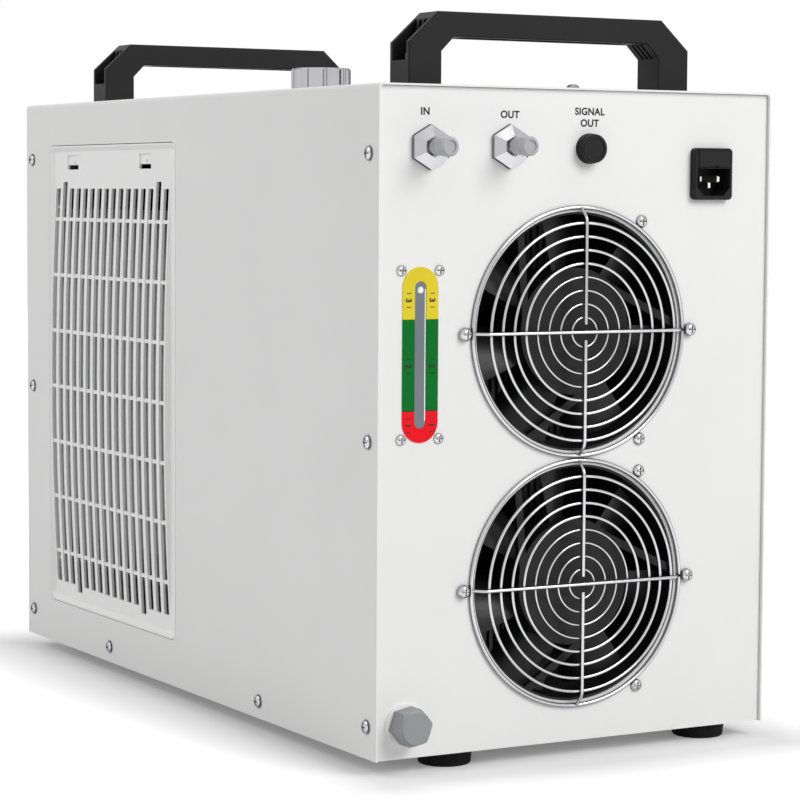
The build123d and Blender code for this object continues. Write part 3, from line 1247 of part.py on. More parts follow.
def make_tank():
    width, depth, height = TANK_X1 - TANK_X0, TANK_Y1 - TANK_Y0, TANK_Z1 - TANK_Z0
    middle = Pos((TANK_X0 + TANK_X1) / 2, (TANK_Y0 + TANK_Y1) / 2)
    outline = middle * RectangleRounded(width, depth, TANK_CORNER_R)
    room = middle * RectangleRounded(width - 2 * TANK_WALL, depth - 2 * TANK_WALL, TANK_CORNER_R - TANK_WALL)
    tank = extrude(Plane.XY.offset(TANK_Z0) * outline, amount=height)
    tank -= extrude(Plane.XY.offset(TANK_Z0 + TANK_WALL) * room, amount=height - 2 * TANK_WALL)
    tank -= rod((FILLER_X, FILLER_Y, TANK_Z1 - 2 * TANK_WALL), (0, 0, 1), NECK_R + SEAT, 4 * TANK_WALL)
    for x, z, direction, radius in tank_nipples():
        y = TANK_Y1 if direction > 0 else TANK_Y0
        way = (0, direction, 0)
        tank += rod((x, y - direction * TANK_WALL, z), way, radius, NIPPLE_L + TANK_WALL)
        inner = (x, y - 2 * direction * TANK_WALL, z)
        tank -= rod(inner, way, radius - NIPPLE_WALL, NIPPLE_L + 4 * TANK_WALL)
    for z in (COIL_Z0, COIL_Z1):
        tank -= rod((TANK_X0 - PAST, coil_y(), z), (1, 0, 0), COIL_TUBE_R + SEAT, 2 * TANK_WALL)
    return tank


def tank_nipples():
    rear = [(PORTS["inlet"][0], RETURN_Z, 1, NIPPLE_R), (DRAIN_X, DRAIN_PORT_Z, 1, DRAIN_NIPPLE_R)]
    rear += [(GAUGE_X, z, 1, GAUGE_NIPPLE_R) for z in GAUGE_PORT_Z]
    return rear + [(SUCTION_X, SUCTION_Z, -1, NIPPLE_R)]


def coil_y():
    return (TANK_Y0 + TANK_Y1) / 2


def make_evaporator_coil():
    x = (TANK_X0 + TANK_X1) / 2
    height = COIL_Z1 - COIL_Z0
    path = Helix(pitch=height / COIL_TURNS, height=height, radius=COIL_R)
    path = Pos(x, coil_y(), COIL_Z0) * Rot(0, 0, 180) * path
    start = Plane(origin=path @ 0, z_dir=path % 0)
    coil = sweep(start * Circle(COIL_TUBE_R), path=path, is_frenet=True)
    tail_x = TANK_X0 - COIL_TAIL
    for z in (COIL_Z0, COIL_Z1):
        coil += rod((tail_x, coil_y(), z), (1, 0, 0), COIL_TUBE_R, x - COIL_R - tail_x)
    return coil


def make_tank_stand():
    stand = block(TANK_X0, TANK_X1, STAND_Y0, STAND_Y1, TANK_Z0 - STAND_T, TANK_Z0)
    for side_x, inward in ((TANK_X0, 1), (TANK_X1, -1)):
        stand += block(side_x, side_x + inward * STAND_T, STAND_Y0, STAND_Y1, PANEL, TANK_Z0)
        stand += block(side_x, side_x + inward * STAND_FOOT, STAND_Y0, STAND_Y1, PANEL, PANEL + STAND_T)
    return stand


def make_pump():
    motor_y = PUMP_Y0 + PUMP_VOLUTE_L
    end = motor_y + PUMP_MOTOR_L
    pump = rod((PUMP_X, PUMP_Y0, PUMP_Z), (0, 1, 0), PUMP_VOLUTE_R, PUMP_VOLUTE_L)
    pump += rod((PUMP_X, motor_y, PUMP_Z), (0, 1, 0), PUMP_MOTOR_R, PUMP_MOTOR_L)
    half = PUMP_FOOT_W / 2
    pump += block(PUMP_X - half, PUMP_X + half, motor_y, end - PUMP_RIB_IN, PANEL, PANEL + STAND_T)
    half = PUMP_RIB_W / 2
    for y in (motor_y + PUMP_RIB_IN, end - 2 * PUMP_RIB_IN):
        pump += block(PUMP_X - half, PUMP_X + half, y, y + PUMP_RIB, PANEL, PUMP_Z)
    pump += rod((PUMP_X, PUMP_Y0 - NIPPLE_L, PUMP_Z), (0, 1, 0), PUMP_PORT_R, NIPPLE_L + PAST)
    x, y, top = pump_outlet()
    return pump + rod((x, y, PUMP_Z), (0, 0, 1), PUMP_PORT_R, top - PUMP_Z)


def pump_outlet():
    return PUMP_X - PUMP_OUT_X, PUMP_Y0 + PUMP_VOLUTE_L / 2, PUMP_Z + PUMP_VOLUTE_R + NIPPLE_L


def make_compressor():
    z0, z1 = COMP_Z0, COMP_Z1
    seam = (z0 + z1) / 2
    shell = Pos(0, 0, seam) * Cylinder(COMP_R, z1 - z0)
    shell = fillet(shell.edges().sort_by(Axis.Z)[-1], COMP_DOME_R)
    shell += Pos(0, 0, seam) * Cylinder(COMP_SEAM_R, COMP_PLATE)
    rim = 2 * COMP_FOOT_RIM
    plate = RectangleRounded(2 * COMP_FOOT_X + rim, 2 * COMP_FOOT_Y + rim, COMP_FOOT_RIM)
    shell += extrude(Plane.XY.offset(COMP_Z0) * plate, amount=COMP_PLATE)
    for x, y in comp_foot_places():
        shell -= Pos(x, y, COMP_Z0) * Cylinder(COMP_FOOT_HOLE_R, 4 * COMP_PLATE)
    width, depth, height = COMP_TERMINAL
    shell += block(-width / 2, width / 2, -COMP_R - depth, -COMP_R + depth, seam - height, seam)
    for x, y, radius in comp_stubs():
        shell += rod((x, y, z1 - COMP_DOME_R), (0, 0, 1), radius, COMP_DOME_R + COMP_STUB)
    return Pos(COMP_X, COMP_Y, 0) * shell


def comp_foot_places():
    return [(sx * COMP_FOOT_X, sy * COMP_FOOT_Y) for sx in (1, -1) for sy in (1, -1)]


def comp_stubs():
    suction = (-COMP_STUB_X, coil_y() - COMP_Y, SUCTION_LINE_R)
    return [(DISCHARGE_STUB_X, DISCHARGE_STUB_Y, LINE_R), suction]


def make_compressor_mounts():
    mounts = []
    for x, y in comp_foot_places():
        place = Pos(COMP_X + x, COMP_Y + y, PANEL)
        height = COMP_Z0 - PANEL
        low, waist = 2 * MOUNT_WAIST, MOUNT_R - MOUNT_WAIST
        outline = [(0, 0), (MOUNT_R, 0), (MOUNT_R, MOUNT_WAIST), (waist, low), (waist, height - low)]
        outline += [(MOUNT_R, height - MOUNT_WAIST), (MOUNT_R, height), (0, height)]
        mounts.append(turned(outline, place))
    return mounts


def make_condenser():
    core = block(-COND_HALF, COND_HALF, COND_Y0, COND_Y1, COND_Z0, COND_Z1)
    count = int(2 * COND_HALF / COND_FIN_PITCH) - 1
    grooves = []
    for k in range(count):
        x = -COND_HALF + (k + 1) * COND_FIN_PITCH
        half = COND_FIN_GROOVE / 2
        for y in (COND_Y0, COND_Y1):
            y0, y1 = y - COND_FIN_GROOVE_D, y + COND_FIN_GROOVE_D
            grooves.append(block(x - half, x + half, y0, y1, COND_Z0 + COND_RIM, COND_Z1 - COND_RIM))
    core -= grooves
    middle = (COND_Z0 + COND_Z1) / 2
    rim = COND_HALF + COND_PLATE
    for side in (1, -1):
        core += block(side * COND_HALF, side * rim, COND_Y0, COND_Y1, PANEL, COND_Z1)
        core += block(side * COND_HALF, side * (rim + COND_FOOT), COND_Y0, COND_Y1, PANEL, PANEL + COND_PLATE)
        for k in range(BEND_COUNT):
            z = middle + (k - (BEND_COUNT - 1) / 2) * BEND_PITCH
            y = (COND_Y0 + COND_Y1) / 2
            bend = Pos(side * rim, y, z) * Rot(0, 90, 90) * Torus(BEND_R, BEND_TUBE_R)
            reach = BEND_R + 2 * BEND_TUBE_R
            core += bend & block(side * rim, side * (rim + reach), y - reach, y + reach, z - reach, z + reach)
    for z in COND_PORT_Z:
        core += rod((-rim, cond_port_y(), z), (-1, 0, 0), LINE_R, COND_PORT_L)
    return core


def cond_port_y():
    return COND_Y0 + COND_PORT_IN


def make_filter_drier():
    height = DRIER_Z1 - DRIER_Z0
    outline = [(0, 0), (LINE_R, 0), (DRIER_R, DRIER_CONE), (DRIER_R, height - DRIER_CONE), (LINE_R, height)]
    outline.append((0, height))
    return turned(outline, Pos(LINE_X, DRIER_Y, DRIER_Z0))


def make_refrigerant_lines():
    port_x = -COND_HALF - COND_PLATE - COND_PORT_L
    low_z, high_z = COND_PORT_Z
    comp_top = COMP_Z1 + COMP_STUB
    (out_x, out_y, _), (in_x, in_y, _) = comp_stubs()
    out_x, out_y, in_x, in_y = COMP_X + out_x, COMP_Y + out_y, COMP_X + in_x, COMP_Y + in_y
    discharge = [(out_x, out_y, comp_top), (out_x, out_y, DISCHARGE_Z), (LINE_X, out_y, DISCHARGE_Z)]
    discharge += [(LINE_X, out_y, high_z), (LINE_X, cond_port_y(), high_z), (port_x, cond_port_y(), high_z)]
    liquid = [(port_x, cond_port_y(), low_z), (LINE_X, cond_port_y(), low_z), (LINE_X, DRIER_Y, low_z),
              (LINE_X, DRIER_Y, DRIER_Z0)]
    tail_x = TANK_X0 - COIL_TAIL
    turn_x = tail_x - CAPILLARY_REACH
    capillary = [(LINE_X, DRIER_Y, DRIER_Z1), (LINE_X, DRIER_Y, COIL_Z0), (turn_x, DRIER_Y, COIL_Z0)]
    capillary += [(turn_x, coil_y(), COIL_Z0), (tail_x, coil_y(), COIL_Z0)]
    suction = [(tail_x, coil_y(), COIL_Z1), (in_x, coil_y(), COIL_Z1), (in_x, in_y, comp_top)]
    lines = [tube_path(discharge, LINE_R, SMALL_BEND), tube_path(liquid, LINE_R, SMALL_BEND)]
    lines.append(tube_path(capillary, CAPILLARY_R, SMALL_BEND))
    return lines + [tube_path(suction, SUCTION_LINE_R, LINE_BEND)]


def make_water_hoses():
    inlet_x, inlet_z = PORTS["inlet"]
    outlet_x, outlet_z = PORTS["outlet"]
    tail_y = PANEL_OUT - PORT_SHANK_L - PORT_TAIL_L
    drain_y = PANEL_OUT - DRAIN_TAIL - PORT_TAIL_L
    gap_y = (TANK_Y1 + COND_Y0) / 2
    rear = TANK_Y1 + NIPPLE_L
    returned = [(inlet_x, tail_y, inlet_z), (inlet_x, tail_y - HOSE_DROP, inlet_z)]
    returned += [(inlet_x, rear + HOSE_LEAD, RETURN_Z), (inlet_x, rear, RETURN_Z)]
    pump_x, pump_y, pump_top = pump_outlet()
    level = pump_top + SUPPLY_RISE
    supply = [(outlet_x, tail_y, outlet_z), (outlet_x, gap_y, outlet_z), (outlet_x, gap_y, level)]
    supply += [(pump_x, pump_y, level), (pump_x, pump_y, pump_top)]
    front_y = TANK_Y0 - NIPPLE_L
    suction = [(SUCTION_X, front_y, SUCTION_Z), (SUCTION_X, front_y - HOSE_LEAD, SUCTION_Z)]
    suction += [(SUCTION_X, front_y - HOSE_LEAD, PUMP_Z), (PUMP_X, PUMP_Y0 - NIPPLE_L, PUMP_Z)]
    drained = [(DRAIN_X, drain_y, DRAIN_Z), (DRAIN_X, rear + HOSE_LEAD, DRAIN_Z)]
    drained += [(DRAIN_X, rear + HOSE_LEAD, DRAIN_PORT_Z), (DRAIN_X, rear, DRAIN_PORT_Z)]
    gauge_y = PANEL_IN - SEAT - GAUGE_FLANGE_T - GAUGE_BLOCK_T - GAUGE_NIPPLE_L
    hoses = [tube_path(returned, HOSE_R, HOSE_TIGHT), tube_path(supply, HOSE_R, HOSE_BEND)]
    hoses += [tube_path(suction, HOSE_R, LINE_BEND), tube_path(drained, DRAIN_HOSE_R, LINE_BEND)]
    for z in GAUGE_PORT_Z:
        hoses.append(rod((GAUGE_X, rear, z), (0, 1, 0), SMALL_HOSE_R, gauge_y - rear))
    return hoses


def make_electrical_box():
    size = (2 * BOX_HALF, BOX_Y1 - BOX_Y0)
    middle = Pos(0, (BOX_Y0 + BOX_Y1) / 2)
    box = extrude(Plane.XY.offset(PANEL) * middle * RectangleRounded(*size, BOX_R), amount=BOX_H)
    for k in range(VENT_COUNT):
        x = (k - (VENT_COUNT - 1) / 2) * VENT_PITCH
        low, high = [share * BOX_H for share in VENT_SPAN]
        box -= block(x - VENT_W / 2, x + VENT_W / 2, BOX_Y1 - VENT_DEPTH, BOX_Y1 + PAST, low, high)
    return box


def make_casing_screws():
    screw = pan_screw(SCREW_HEAD_R, SCREW_HEAD_H, SCREW_SHANK_R, SCREW_LENGTH, WASHER_R)
    screws = []
    for x, y, z in both_sides(side_screw_places()):
        screws.append(Pos(x, y, z) * Rot(0, 90 if x > 0 else -90, 0) * screw)
    for side in (1, -1):
        screws.append(Pos(0, side * SIDE_SCREW_Y, CASE_H) * screw)
    return screws


def all_parts():
    door, mesh, handle = make_door(), make_mesh(), make_handle()
    parts = {
        "base_pan": make_base_pan(),
        "cover": make_cover(),
        "back_panel": make_back_panel(),
        "front_panel": make_front_panel(),
        "right_filter_door": door,
        "right_filter_mesh": mesh,
        "left_filter_door": mirror(door, about=Plane.YZ),
        "left_filter_mesh": mirror(mesh, about=Plane.YZ),
        "rear_handle": handle,
        "front_handle": mirror(handle, about=Plane.XZ),
        "handle_bolts": make_handle_bolts(),
        "casing_screws": make_casing_screws(),
        "foot_bolts": make_foot_bolts(),
        "filler_neck": make_filler_neck(),
        "filler_gasket": make_filler_gasket(),
        "filler_cap": make_filler_cap(),
        "fan_screws": make_fan_screws(),
        "gauge_label": make_gauge_label(),
        "gauge_window": make_gauge_window(),
        "gauge_screws": make_gauge_screws(),
        "port_locknuts": make_locknuts(),
        "alarm_socket": make_alarm_socket(),
        "alarm_cap": make_alarm_cap(),
        "power_inlet": make_power_inlet(),
        "power_pins": make_power_pins(),
        "fuse_drawer": make_fuse_drawer(),
        "drain_spout": make_drain_spout(),
        "drain_plug": make_drain_plug(),
        "controller_housing": make_controller(),
        "controller_window": make_controller_window(),
        "switch_housing": make_switch_housing(),
        "switch_rocker": make_switch_rocker(),
        "water_tank": make_tank(),
        "tank_stand": make_tank_stand(),
        "evaporator_coil": make_evaporator_coil(),
        "water_pump": make_pump(),
        "compressor": make_compressor(),
        "compressor_mounts": make_compressor_mounts(),
        "condenser": make_condenser(),
        "filter_drier": make_filter_drier(),
        "refrigerant_lines": make_refrigerant_lines(),
        "water_hoses": make_water_hoses(),
        "electrical_box": make_electrical_box(),
    }
    for name, x in BUTTONS.items():
        parts[name] = make_button(x)
    for name, (x, z) in PORTS.items():
        parts[f"{name}_fitting"] = make_port_fitting(x, z)
        parts[f"{name}_cap"] = make_dust_cap(x, z)
    for name, z in zip(("upper", "lower"), FAN_Z):
        parts[f"{name}_fan_housing"] = make_fan_housing(z)
        parts[f"{name}_fan_rotor"] = make_fan_rotor(z)
        parts[f"{name}_fan_guard"] = make_fan_guard(z)
    for name, (x, y) in zip(("rear_right", "rear_left", "front_right", "front_left"), foot_places()):
        parts[f"foot_{name}"] = make_foot(x, y)
    return parts


def write_parts():
    os.makedirs("parts", exist_ok=True)
    for name, shape in all_parts().items():
        pieces = shape if isinstance(shape, list) else [shape]
        solids = [Pos(0, SHIFT_Y, FOOT_H) * solid for piece in pieces for solid in piece.solids()]
        whole = solids[0] if len(solids) == 1 else Compound(solids)
        export_step(whole, f"parts/{name}.step")


write_parts()
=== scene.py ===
import json
import math

import bpy
from mathutils import Matrix, Vector


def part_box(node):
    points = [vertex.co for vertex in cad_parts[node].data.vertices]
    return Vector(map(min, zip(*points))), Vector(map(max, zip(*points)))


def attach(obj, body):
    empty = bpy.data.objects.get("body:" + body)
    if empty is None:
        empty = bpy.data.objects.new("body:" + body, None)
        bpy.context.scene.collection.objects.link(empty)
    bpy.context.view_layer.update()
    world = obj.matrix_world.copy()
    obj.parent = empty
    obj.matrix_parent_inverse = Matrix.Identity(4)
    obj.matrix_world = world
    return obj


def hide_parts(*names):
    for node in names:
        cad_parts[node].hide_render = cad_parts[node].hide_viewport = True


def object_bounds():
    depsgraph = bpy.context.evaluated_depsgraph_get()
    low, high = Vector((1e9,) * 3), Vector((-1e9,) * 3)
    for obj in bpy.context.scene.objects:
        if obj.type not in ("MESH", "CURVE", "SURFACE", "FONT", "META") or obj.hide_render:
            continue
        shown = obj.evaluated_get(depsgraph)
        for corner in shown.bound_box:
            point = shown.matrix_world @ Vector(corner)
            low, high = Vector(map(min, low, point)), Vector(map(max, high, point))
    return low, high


# Looks for a refrigerated water chiller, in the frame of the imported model:
# +Z up, +Y towards the back with the fans and ports, +X towards the side with the seen filter door.
# Named sizes are in millimetres. The camera's place, the lamps and the floor are in metres.

bpy.context.scene.view_settings.view_transform = "Standard"

MM = 0.001

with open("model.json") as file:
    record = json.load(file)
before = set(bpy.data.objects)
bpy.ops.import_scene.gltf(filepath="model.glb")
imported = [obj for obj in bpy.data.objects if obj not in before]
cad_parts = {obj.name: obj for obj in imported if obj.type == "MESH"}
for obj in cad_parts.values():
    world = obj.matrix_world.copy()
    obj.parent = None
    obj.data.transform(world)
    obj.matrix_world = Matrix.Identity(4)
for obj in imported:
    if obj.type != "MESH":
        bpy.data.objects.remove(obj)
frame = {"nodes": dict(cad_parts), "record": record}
cad_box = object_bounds()
nodes = frame["nodes"]


def at(x, y, z):
    # millimetres to the scene's metres
    return Vector((x, y, z)) * MM


def box_mm(node):
    # the lowest and highest corners of a node, in millimetres
    low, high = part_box(node)
    return Vector(low) / MM, Vector(high) / MM


# Places read from the frame

PANEL_OUT = box_mm("back_panel")[1].y

gauge_low, gauge_high = box_mm("gauge_label")
GAUGE_X = (gauge_low.x + gauge_high.x) / 2
GAUGE_Z = (gauge_low.z + gauge_high.z) / 2
GAUGE_FACE = gauge_high.y

# heights on the level gauge, from its middle
GAUGE_HALF = 53.5
RED_TOP = -34.1
GREEN_TOP = 21.5
NUMBER_HEIGHTS = {"1": -42.7, "2": -6.7, "3": 33.3}
# height of the painted highlight ball at the top of the level tube
HIGHLIGHT_BALL_HEIGHT = 39.4


# Camera

CAMERA_PLACE = Vector((0.94083, 1.71572, 0.35525))
CAMERA_RIGHT = Vector((-0.87169, 0.49003, 0.00588))
CAMERA_UP = Vector((-0.03174, -0.06842, 0.99715))
LENS_LENGTH = 123.57
SENSOR_WIDTH = 36.0


def place_camera():
    data = bpy.data.cameras.new("photo_camera")
    data.sensor_width = SENSOR_WIDTH
    data.lens = LENS_LENGTH
    camera = bpy.data.objects.new("photo_camera", data)
    bpy.context.scene.collection.objects.link(camera)
    back = CAMERA_RIGHT.cross(CAMERA_UP)
    turn = Matrix((CAMERA_RIGHT, CAMERA_UP, back)).transposed().to_4x4()
    camera.matrix_world = Matrix.Translation(CAMERA_PLACE) @ turn
    bpy.context.scene.camera = camera


place_camera()


# Shader nodes

GRAIN_DEPTH = 0.2
NOISE_LOW, NOISE_HIGH = 0.25, 0.75
# painted shade in slots and where pieces meet: how dark, where the darkening starts and ends, and its
# samples
PAINTED_SHADE_DARK = 0.12
PAINTED_SHADE_START, PAINTED_SHADE_END = 0.35, 0.95
PAINTED_SHADE_SAMPLES = 8
LEAST_ROUGH = 0.02


def new_material(name):
    made = bpy.data.materials.new(name)
    made.use_nodes = True
    tree = made.node_tree
    shader = tree.nodes["Principled BSDF"]
    return made, tree, shader


def place_node(tree):
    # a piece's own coordinates in metres, which are the frame's on all pieces but the letters
    found = tree.nodes.get("Texture Coordinate")
    return (found or tree.nodes.new("ShaderNodeTexCoord")).outputs["Object"]


def axis_nodes(tree):
    axes = tree.nodes.new("ShaderNodeSeparateXYZ")
    tree.links.new(place_node(tree), axes.inputs["Vector"])
    return axes.outputs


def noise_node(tree, scale, detail=3.0):
    noise = tree.nodes.new("ShaderNodeTexNoise")
    noise.inputs["Scale"].default_value = scale
    noise.inputs["Detail"].default_value = detail
    tree.links.new(place_node(tree), noise.inputs["Vector"])
    return noise.outputs["Fac"]


def ramp_node(tree, fac, low, high, start=0.3, end=0.7):
    ramp = tree.nodes.new("ShaderNodeValToRGB")
    ramp.color_ramp.elements[0].position = start
    ramp.color_ramp.elements[1].position = end
    ramp.color_ramp.elements[0].color = (*low, 1)
    ramp.color_ramp.elements[1].color = (*high, 1)
    tree.links.new(fac, ramp.inputs["Fac"])
    return ramp.outputs["Color"]


def range_node(tree, value, from_low, from_high, to_low, to_high):
    ranged = tree.nodes.new("ShaderNodeMapRange")
    ranged.inputs["From Min"].default_value = from_low
    ranged.inputs["From Max"].default_value = from_high
    ranged.inputs["To Min"].default_value = to_low
    ranged.inputs["To Max"].default_value = to_high
    tree.links.new(value, ranged.inputs["Value"])
    return ranged.outputs["Result"]


def spread(tree, noise, low, high):
    return range_node(tree, noise, NOISE_LOW, NOISE_HIGH, low, high)


def bump_node(tree, height, strength, depth=GRAIN_DEPTH):
    bump = tree.nodes.new("ShaderNodeBump")
    bump.inputs["Strength"].default_value = strength
    bump.inputs["Distance"].default_value = depth * MM
    tree.links.new(height, bump.inputs["Height"])
    return bump.outputs["Normal"]


def math_node(tree, operation, first, second=None):
    # second is a number or another node's output
    made = tree.nodes.new("ShaderNodeMath")
    made.operation = operation
    tree.links.new(first, made.inputs[0])
    if isinstance(second, float):
        made.inputs[1].default_value = second
    elif second is not None:
        tree.links.new(second, made.inputs[1])
    return made.outputs[0]


def multiply_colors(tree, first, second):
    # inputs 0, 6 and 7 and output 2 are this node's factor and colours
    mix = tree.nodes.new("ShaderNodeMix")
    mix.data_type = "RGBA"
    mix.blend_type = "MULTIPLY"
    mix.inputs[0].default_value = 1.0
    tree.links.new(first, mix.inputs[6])
    tree.links.new(second, mix.inputs[7])
    return mix.outputs[2]


def painted_crevice_shade(tree, color, reach):
    # painted shade: the colour goes darker in slots and where a piece meets its seat, where shade falls
    near = tree.nodes.new("ShaderNodeAmbientOcclusion")
    near.samples = PAINTED_SHADE_SAMPLES
    near.inputs["Distance"].default_value = reach * MM
    dark = (PAINTED_SHADE_DARK, PAINTED_SHADE_DARK, PAINTED_SHADE_DARK)
    shade = ramp_node(tree, near.outputs["AO"], dark, (1, 1, 1), PAINTED_SHADE_START, PAINTED_SHADE_END)
    return multiply_colors(tree, color, shade)


# Materials

MOTTLE_SCALE, GLOSS_SCALE = 14.0, 56.0


def finish_material(name, color, rough, grain, grain_bump, change,
                    metal=0.0, rough_change=0.06, crevice=0.0, **shader_values):
    # one colour with soft mottling, uneven gloss and a fine surface grain, and painted shade in slots
    # when a reach for it is given
    made, tree, shader = new_material(name)
    low = tuple(c * (1 - change) for c in color)
    high = tuple(min(1.0, c * (1 + change)) for c in color)
    base = ramp_node(tree, noise_node(tree, MOTTLE_SCALE, detail=4.0), low, high)
    if crevice:
        base = painted_crevice_shade(tree, base, crevice)
    tree.links.new(base, shader.inputs["Base Color"])
    smooth = max(LEAST_ROUGH, rough - rough_change)
    gloss = spread(tree, noise_node(tree, GLOSS_SCALE), smooth, rough + rough_change)
    tree.links.new(gloss, shader.inputs["Roughness"])
    surface = bump_node(tree, noise_node(tree, grain, detail=2.0), grain_bump)
    tree.links.new(surface, shader.inputs["Normal"])
    shader.inputs["Metallic"].default_value = metal
    for key, value in shader_values.items():
        shader.inputs[key.replace("_", " ")].default_value = value
    return made


PAINTS_AND_PLASTICS = {
    "white_paint": dict(
        color=(0.83, 0.83, 0.825), rough=0.42, grain=1100, grain_bump=0.12, change=0.012),
    "white_plastic": dict(
        color=(0.93, 0.93, 0.925), rough=0.45, grain=2200, grain_bump=0.12, change=0.012),
    "black_plastic": dict(
        color=(0.010, 0.010, 0.011), rough=0.42, grain=2600, grain_bump=0.35, change=0.15,
        Specular_IOR_Level=0.16),
    "fan_black": dict(
        color=(0.008, 0.008, 0.009), rough=0.36, grain=900, grain_bump=0.2, change=0.2,
        Specular_IOR_Level=0.25),
    "rotor_black": dict(
        color=(0.013, 0.013, 0.014), rough=0.34, grain=1400, grain_bump=0.1, change=0.15,
        Specular_IOR_Level=0.3),
    "black_rubber": dict(
        color=(0.006, 0.006, 0.006), rough=0.7, grain=1500, grain_bump=0.4, change=0.2,
        Specular_IOR_Level=0.12),
    "cap_grey": dict(
        color=(0.42, 0.43, 0.44), rough=0.36, grain=1500, grain_bump=0.12, change=0.04,
        Subsurface_Weight=0.25, Subsurface_Scale=0.003),
    "plug_grey": dict(
        color=(0.27, 0.275, 0.28), rough=0.46, grain=1800, grain_bump=0.2, change=0.05),
    "button_grey": dict(
        color=(0.45, 0.46, 0.47), rough=0.45, grain=2000, grain_bump=0.15, change=0.04),
    "rocker_red": dict(
        color=(0.35, 0.012, 0.01), rough=0.28, grain=1500, grain_bump=0.06, change=0.06),
    "tank_white": dict(
        color=(0.76, 0.77, 0.74), rough=0.5, grain=600, grain_bump=0.12, change=0.04,
        Subsurface_Weight=0.15, Subsurface_Scale=0.004),
    "compressor_black": dict(
        color=(0.02, 0.02, 0.022), rough=0.36, grain=700, grain_bump=0.3, change=0.2),
    "pump_blue": dict(
        color=(0.03, 0.06, 0.11), rough=0.42, grain=900, grain_bump=0.25, change=0.12),
    "hose_clear": dict(
        color=(0.62, 0.64, 0.62), rough=0.4, grain=900, grain_bump=0.08, change=0.05,
        Subsurface_Weight=0.2, Subsurface_Scale=0.004),
    "box_grey": dict(
        color=(0.38, 0.39, 0.40), rough=0.45, grain=900, grain_bump=0.15, change=0.04),
    "ink": dict(
        color=(0.018, 0.018, 0.02), rough=0.55, grain=1500, grain_bump=0.1, change=0.08,
        Specular_IOR_Level=0.2),
}

METALS = {
    # chrome and zinc steel get painted shade in their slots and where they meet their seats, reaching the
    # given millimetres
    "chrome": dict(
        color=(0.52, 0.52, 0.53), rough=0.12, metal=1.0, grain=500, grain_bump=0.03, change=0.03,
        # painted reflection: the dark specular tint paints dark edges on the chrome, for the dark things
        # it would reflect
        rough_change=0.05, crevice=3.0, Specular_Tint=(0.15, 0.15, 0.16, 1)),
    "zinc_steel": dict(
        color=(0.32, 0.324, 0.33), rough=0.24, metal=1.0, grain=300, grain_bump=0.08, change=0.08,
        crevice=2.2),
    "brass": dict(
        color=(0.85, 0.83, 0.78), rough=0.2, metal=1.0, grain=500, grain_bump=0.05, change=0.05),
    "copper": dict(
        color=(0.82, 0.42, 0.26), rough=0.26, metal=1.0, grain=400, grain_bump=0.08, change=0.14),
    # painted highlight: the silver of the ball and of the line on the level tube
    "highlight_silver": dict(
        color=(0.80, 0.81, 0.83), rough=0.22, metal=0.5, grain=900, grain_bump=0.05, change=0.04),
}


RED, GREEN, YELLOW = (0.90, 0.010, 0.020), (0.002, 0.165, 0.022), (0.80, 0.65, 0.035)
PRINT_SHADE = (0.93, 0.93, 0.93)


def gauge_print_material():
    # red, green and yellow fields, told apart by height
    made, tree, shader = new_material("gauge_print")
    low, high = (GAUGE_Z - GAUGE_HALF) * MM, (GAUGE_Z + GAUGE_HALF) * MM
    height = range_node(tree, axis_nodes(tree)["Z"], low, high, 0.0, 1.0)
    ramp = tree.nodes.new("ShaderNodeValToRGB")
    ramp.color_ramp.interpolation = "CONSTANT"
    fields = ((-GAUGE_HALF, RED), (RED_TOP, GREEN), (GREEN_TOP, YELLOW))
    stops = ramp.color_ramp.elements
    stops.new(0.5)
    for stop, (edge, color) in zip(stops, fields):
        stop.position = (edge + GAUGE_HALF) / (2 * GAUGE_HALF)
        stop.color = (*color, 1)
    tree.links.new(height, ramp.inputs["Fac"])
    noise = noise_node(tree, scale=60, detail=4.0)
    color = multiply_colors(tree, ramp.outputs["Color"], ramp_node(tree, noise, PRINT_SHADE, (1, 1, 1)))
    tree.links.new(color, shader.inputs["Base Color"])
    tree.links.new(spread(tree, noise, low=0.24, high=0.36), shader.inputs["Roughness"])
    tree.links.new(bump_node(tree, noise_node(tree, scale=700), strength=0.05), shader.inputs["Normal"])
    shader.inputs["Specular IOR Level"].default_value = 0.08
    return made


CLOUD_DARK = 0.92
CLOUD_ROUGH = 0.06
ACRYLIC_IOR = 1.49


def clear_material(name, color, rough, transmission):
    # a clear or dark glossy plastic, a little cloudy
    made, tree, shader = new_material(name)
    cloudy = noise_node(tree, scale=40)
    dark = tuple(CLOUD_DARK * c for c in color)
    tree.links.new(ramp_node(tree, cloudy, dark, color), shader.inputs["Base Color"])
    tree.links.new(spread(tree, cloudy, rough, rough + CLOUD_ROUGH), shader.inputs["Roughness"])
    tree.links.new(bump_node(tree, noise_node(tree, scale=500), strength=0.04), shader.inputs["Normal"])
    shader.inputs["Transmission Weight"].default_value = transmission
    shader.inputs["IOR"].default_value = ACRYLIC_IOR
    return made


NET_PITCH, NET_DEPTH = 1.6, 0.4
NET_DARK, NET_LIGHT = (0.09, 0.092, 0.095), (0.32, 0.327, 0.334)


def net_material():
    # woven filter net, its threads along the door and up it
    made, tree, shader = new_material("filter_cloth")
    axes = axis_nodes(tree)
    waves = []
    for axis in ("Y", "Z"):
        turn = math_node(tree, "MULTIPLY", axes[axis], 2 * math.pi / (NET_PITCH * MM))
        waves.append(math_node(tree, "SINE", turn))
    thread = math_node(tree, "MAXIMUM", *waves)
    color = ramp_node(tree, thread, NET_DARK, NET_LIGHT, start=0.2, end=0.8)
    tree.links.new(color, shader.inputs["Base Color"])
    tree.links.new(bump_node(tree, thread, strength=0.5, depth=NET_DEPTH), shader.inputs["Normal"])
    shader.inputs["Roughness"].default_value = 0.8
    shader.inputs["Sheen Weight"].default_value = 0.2
    return made


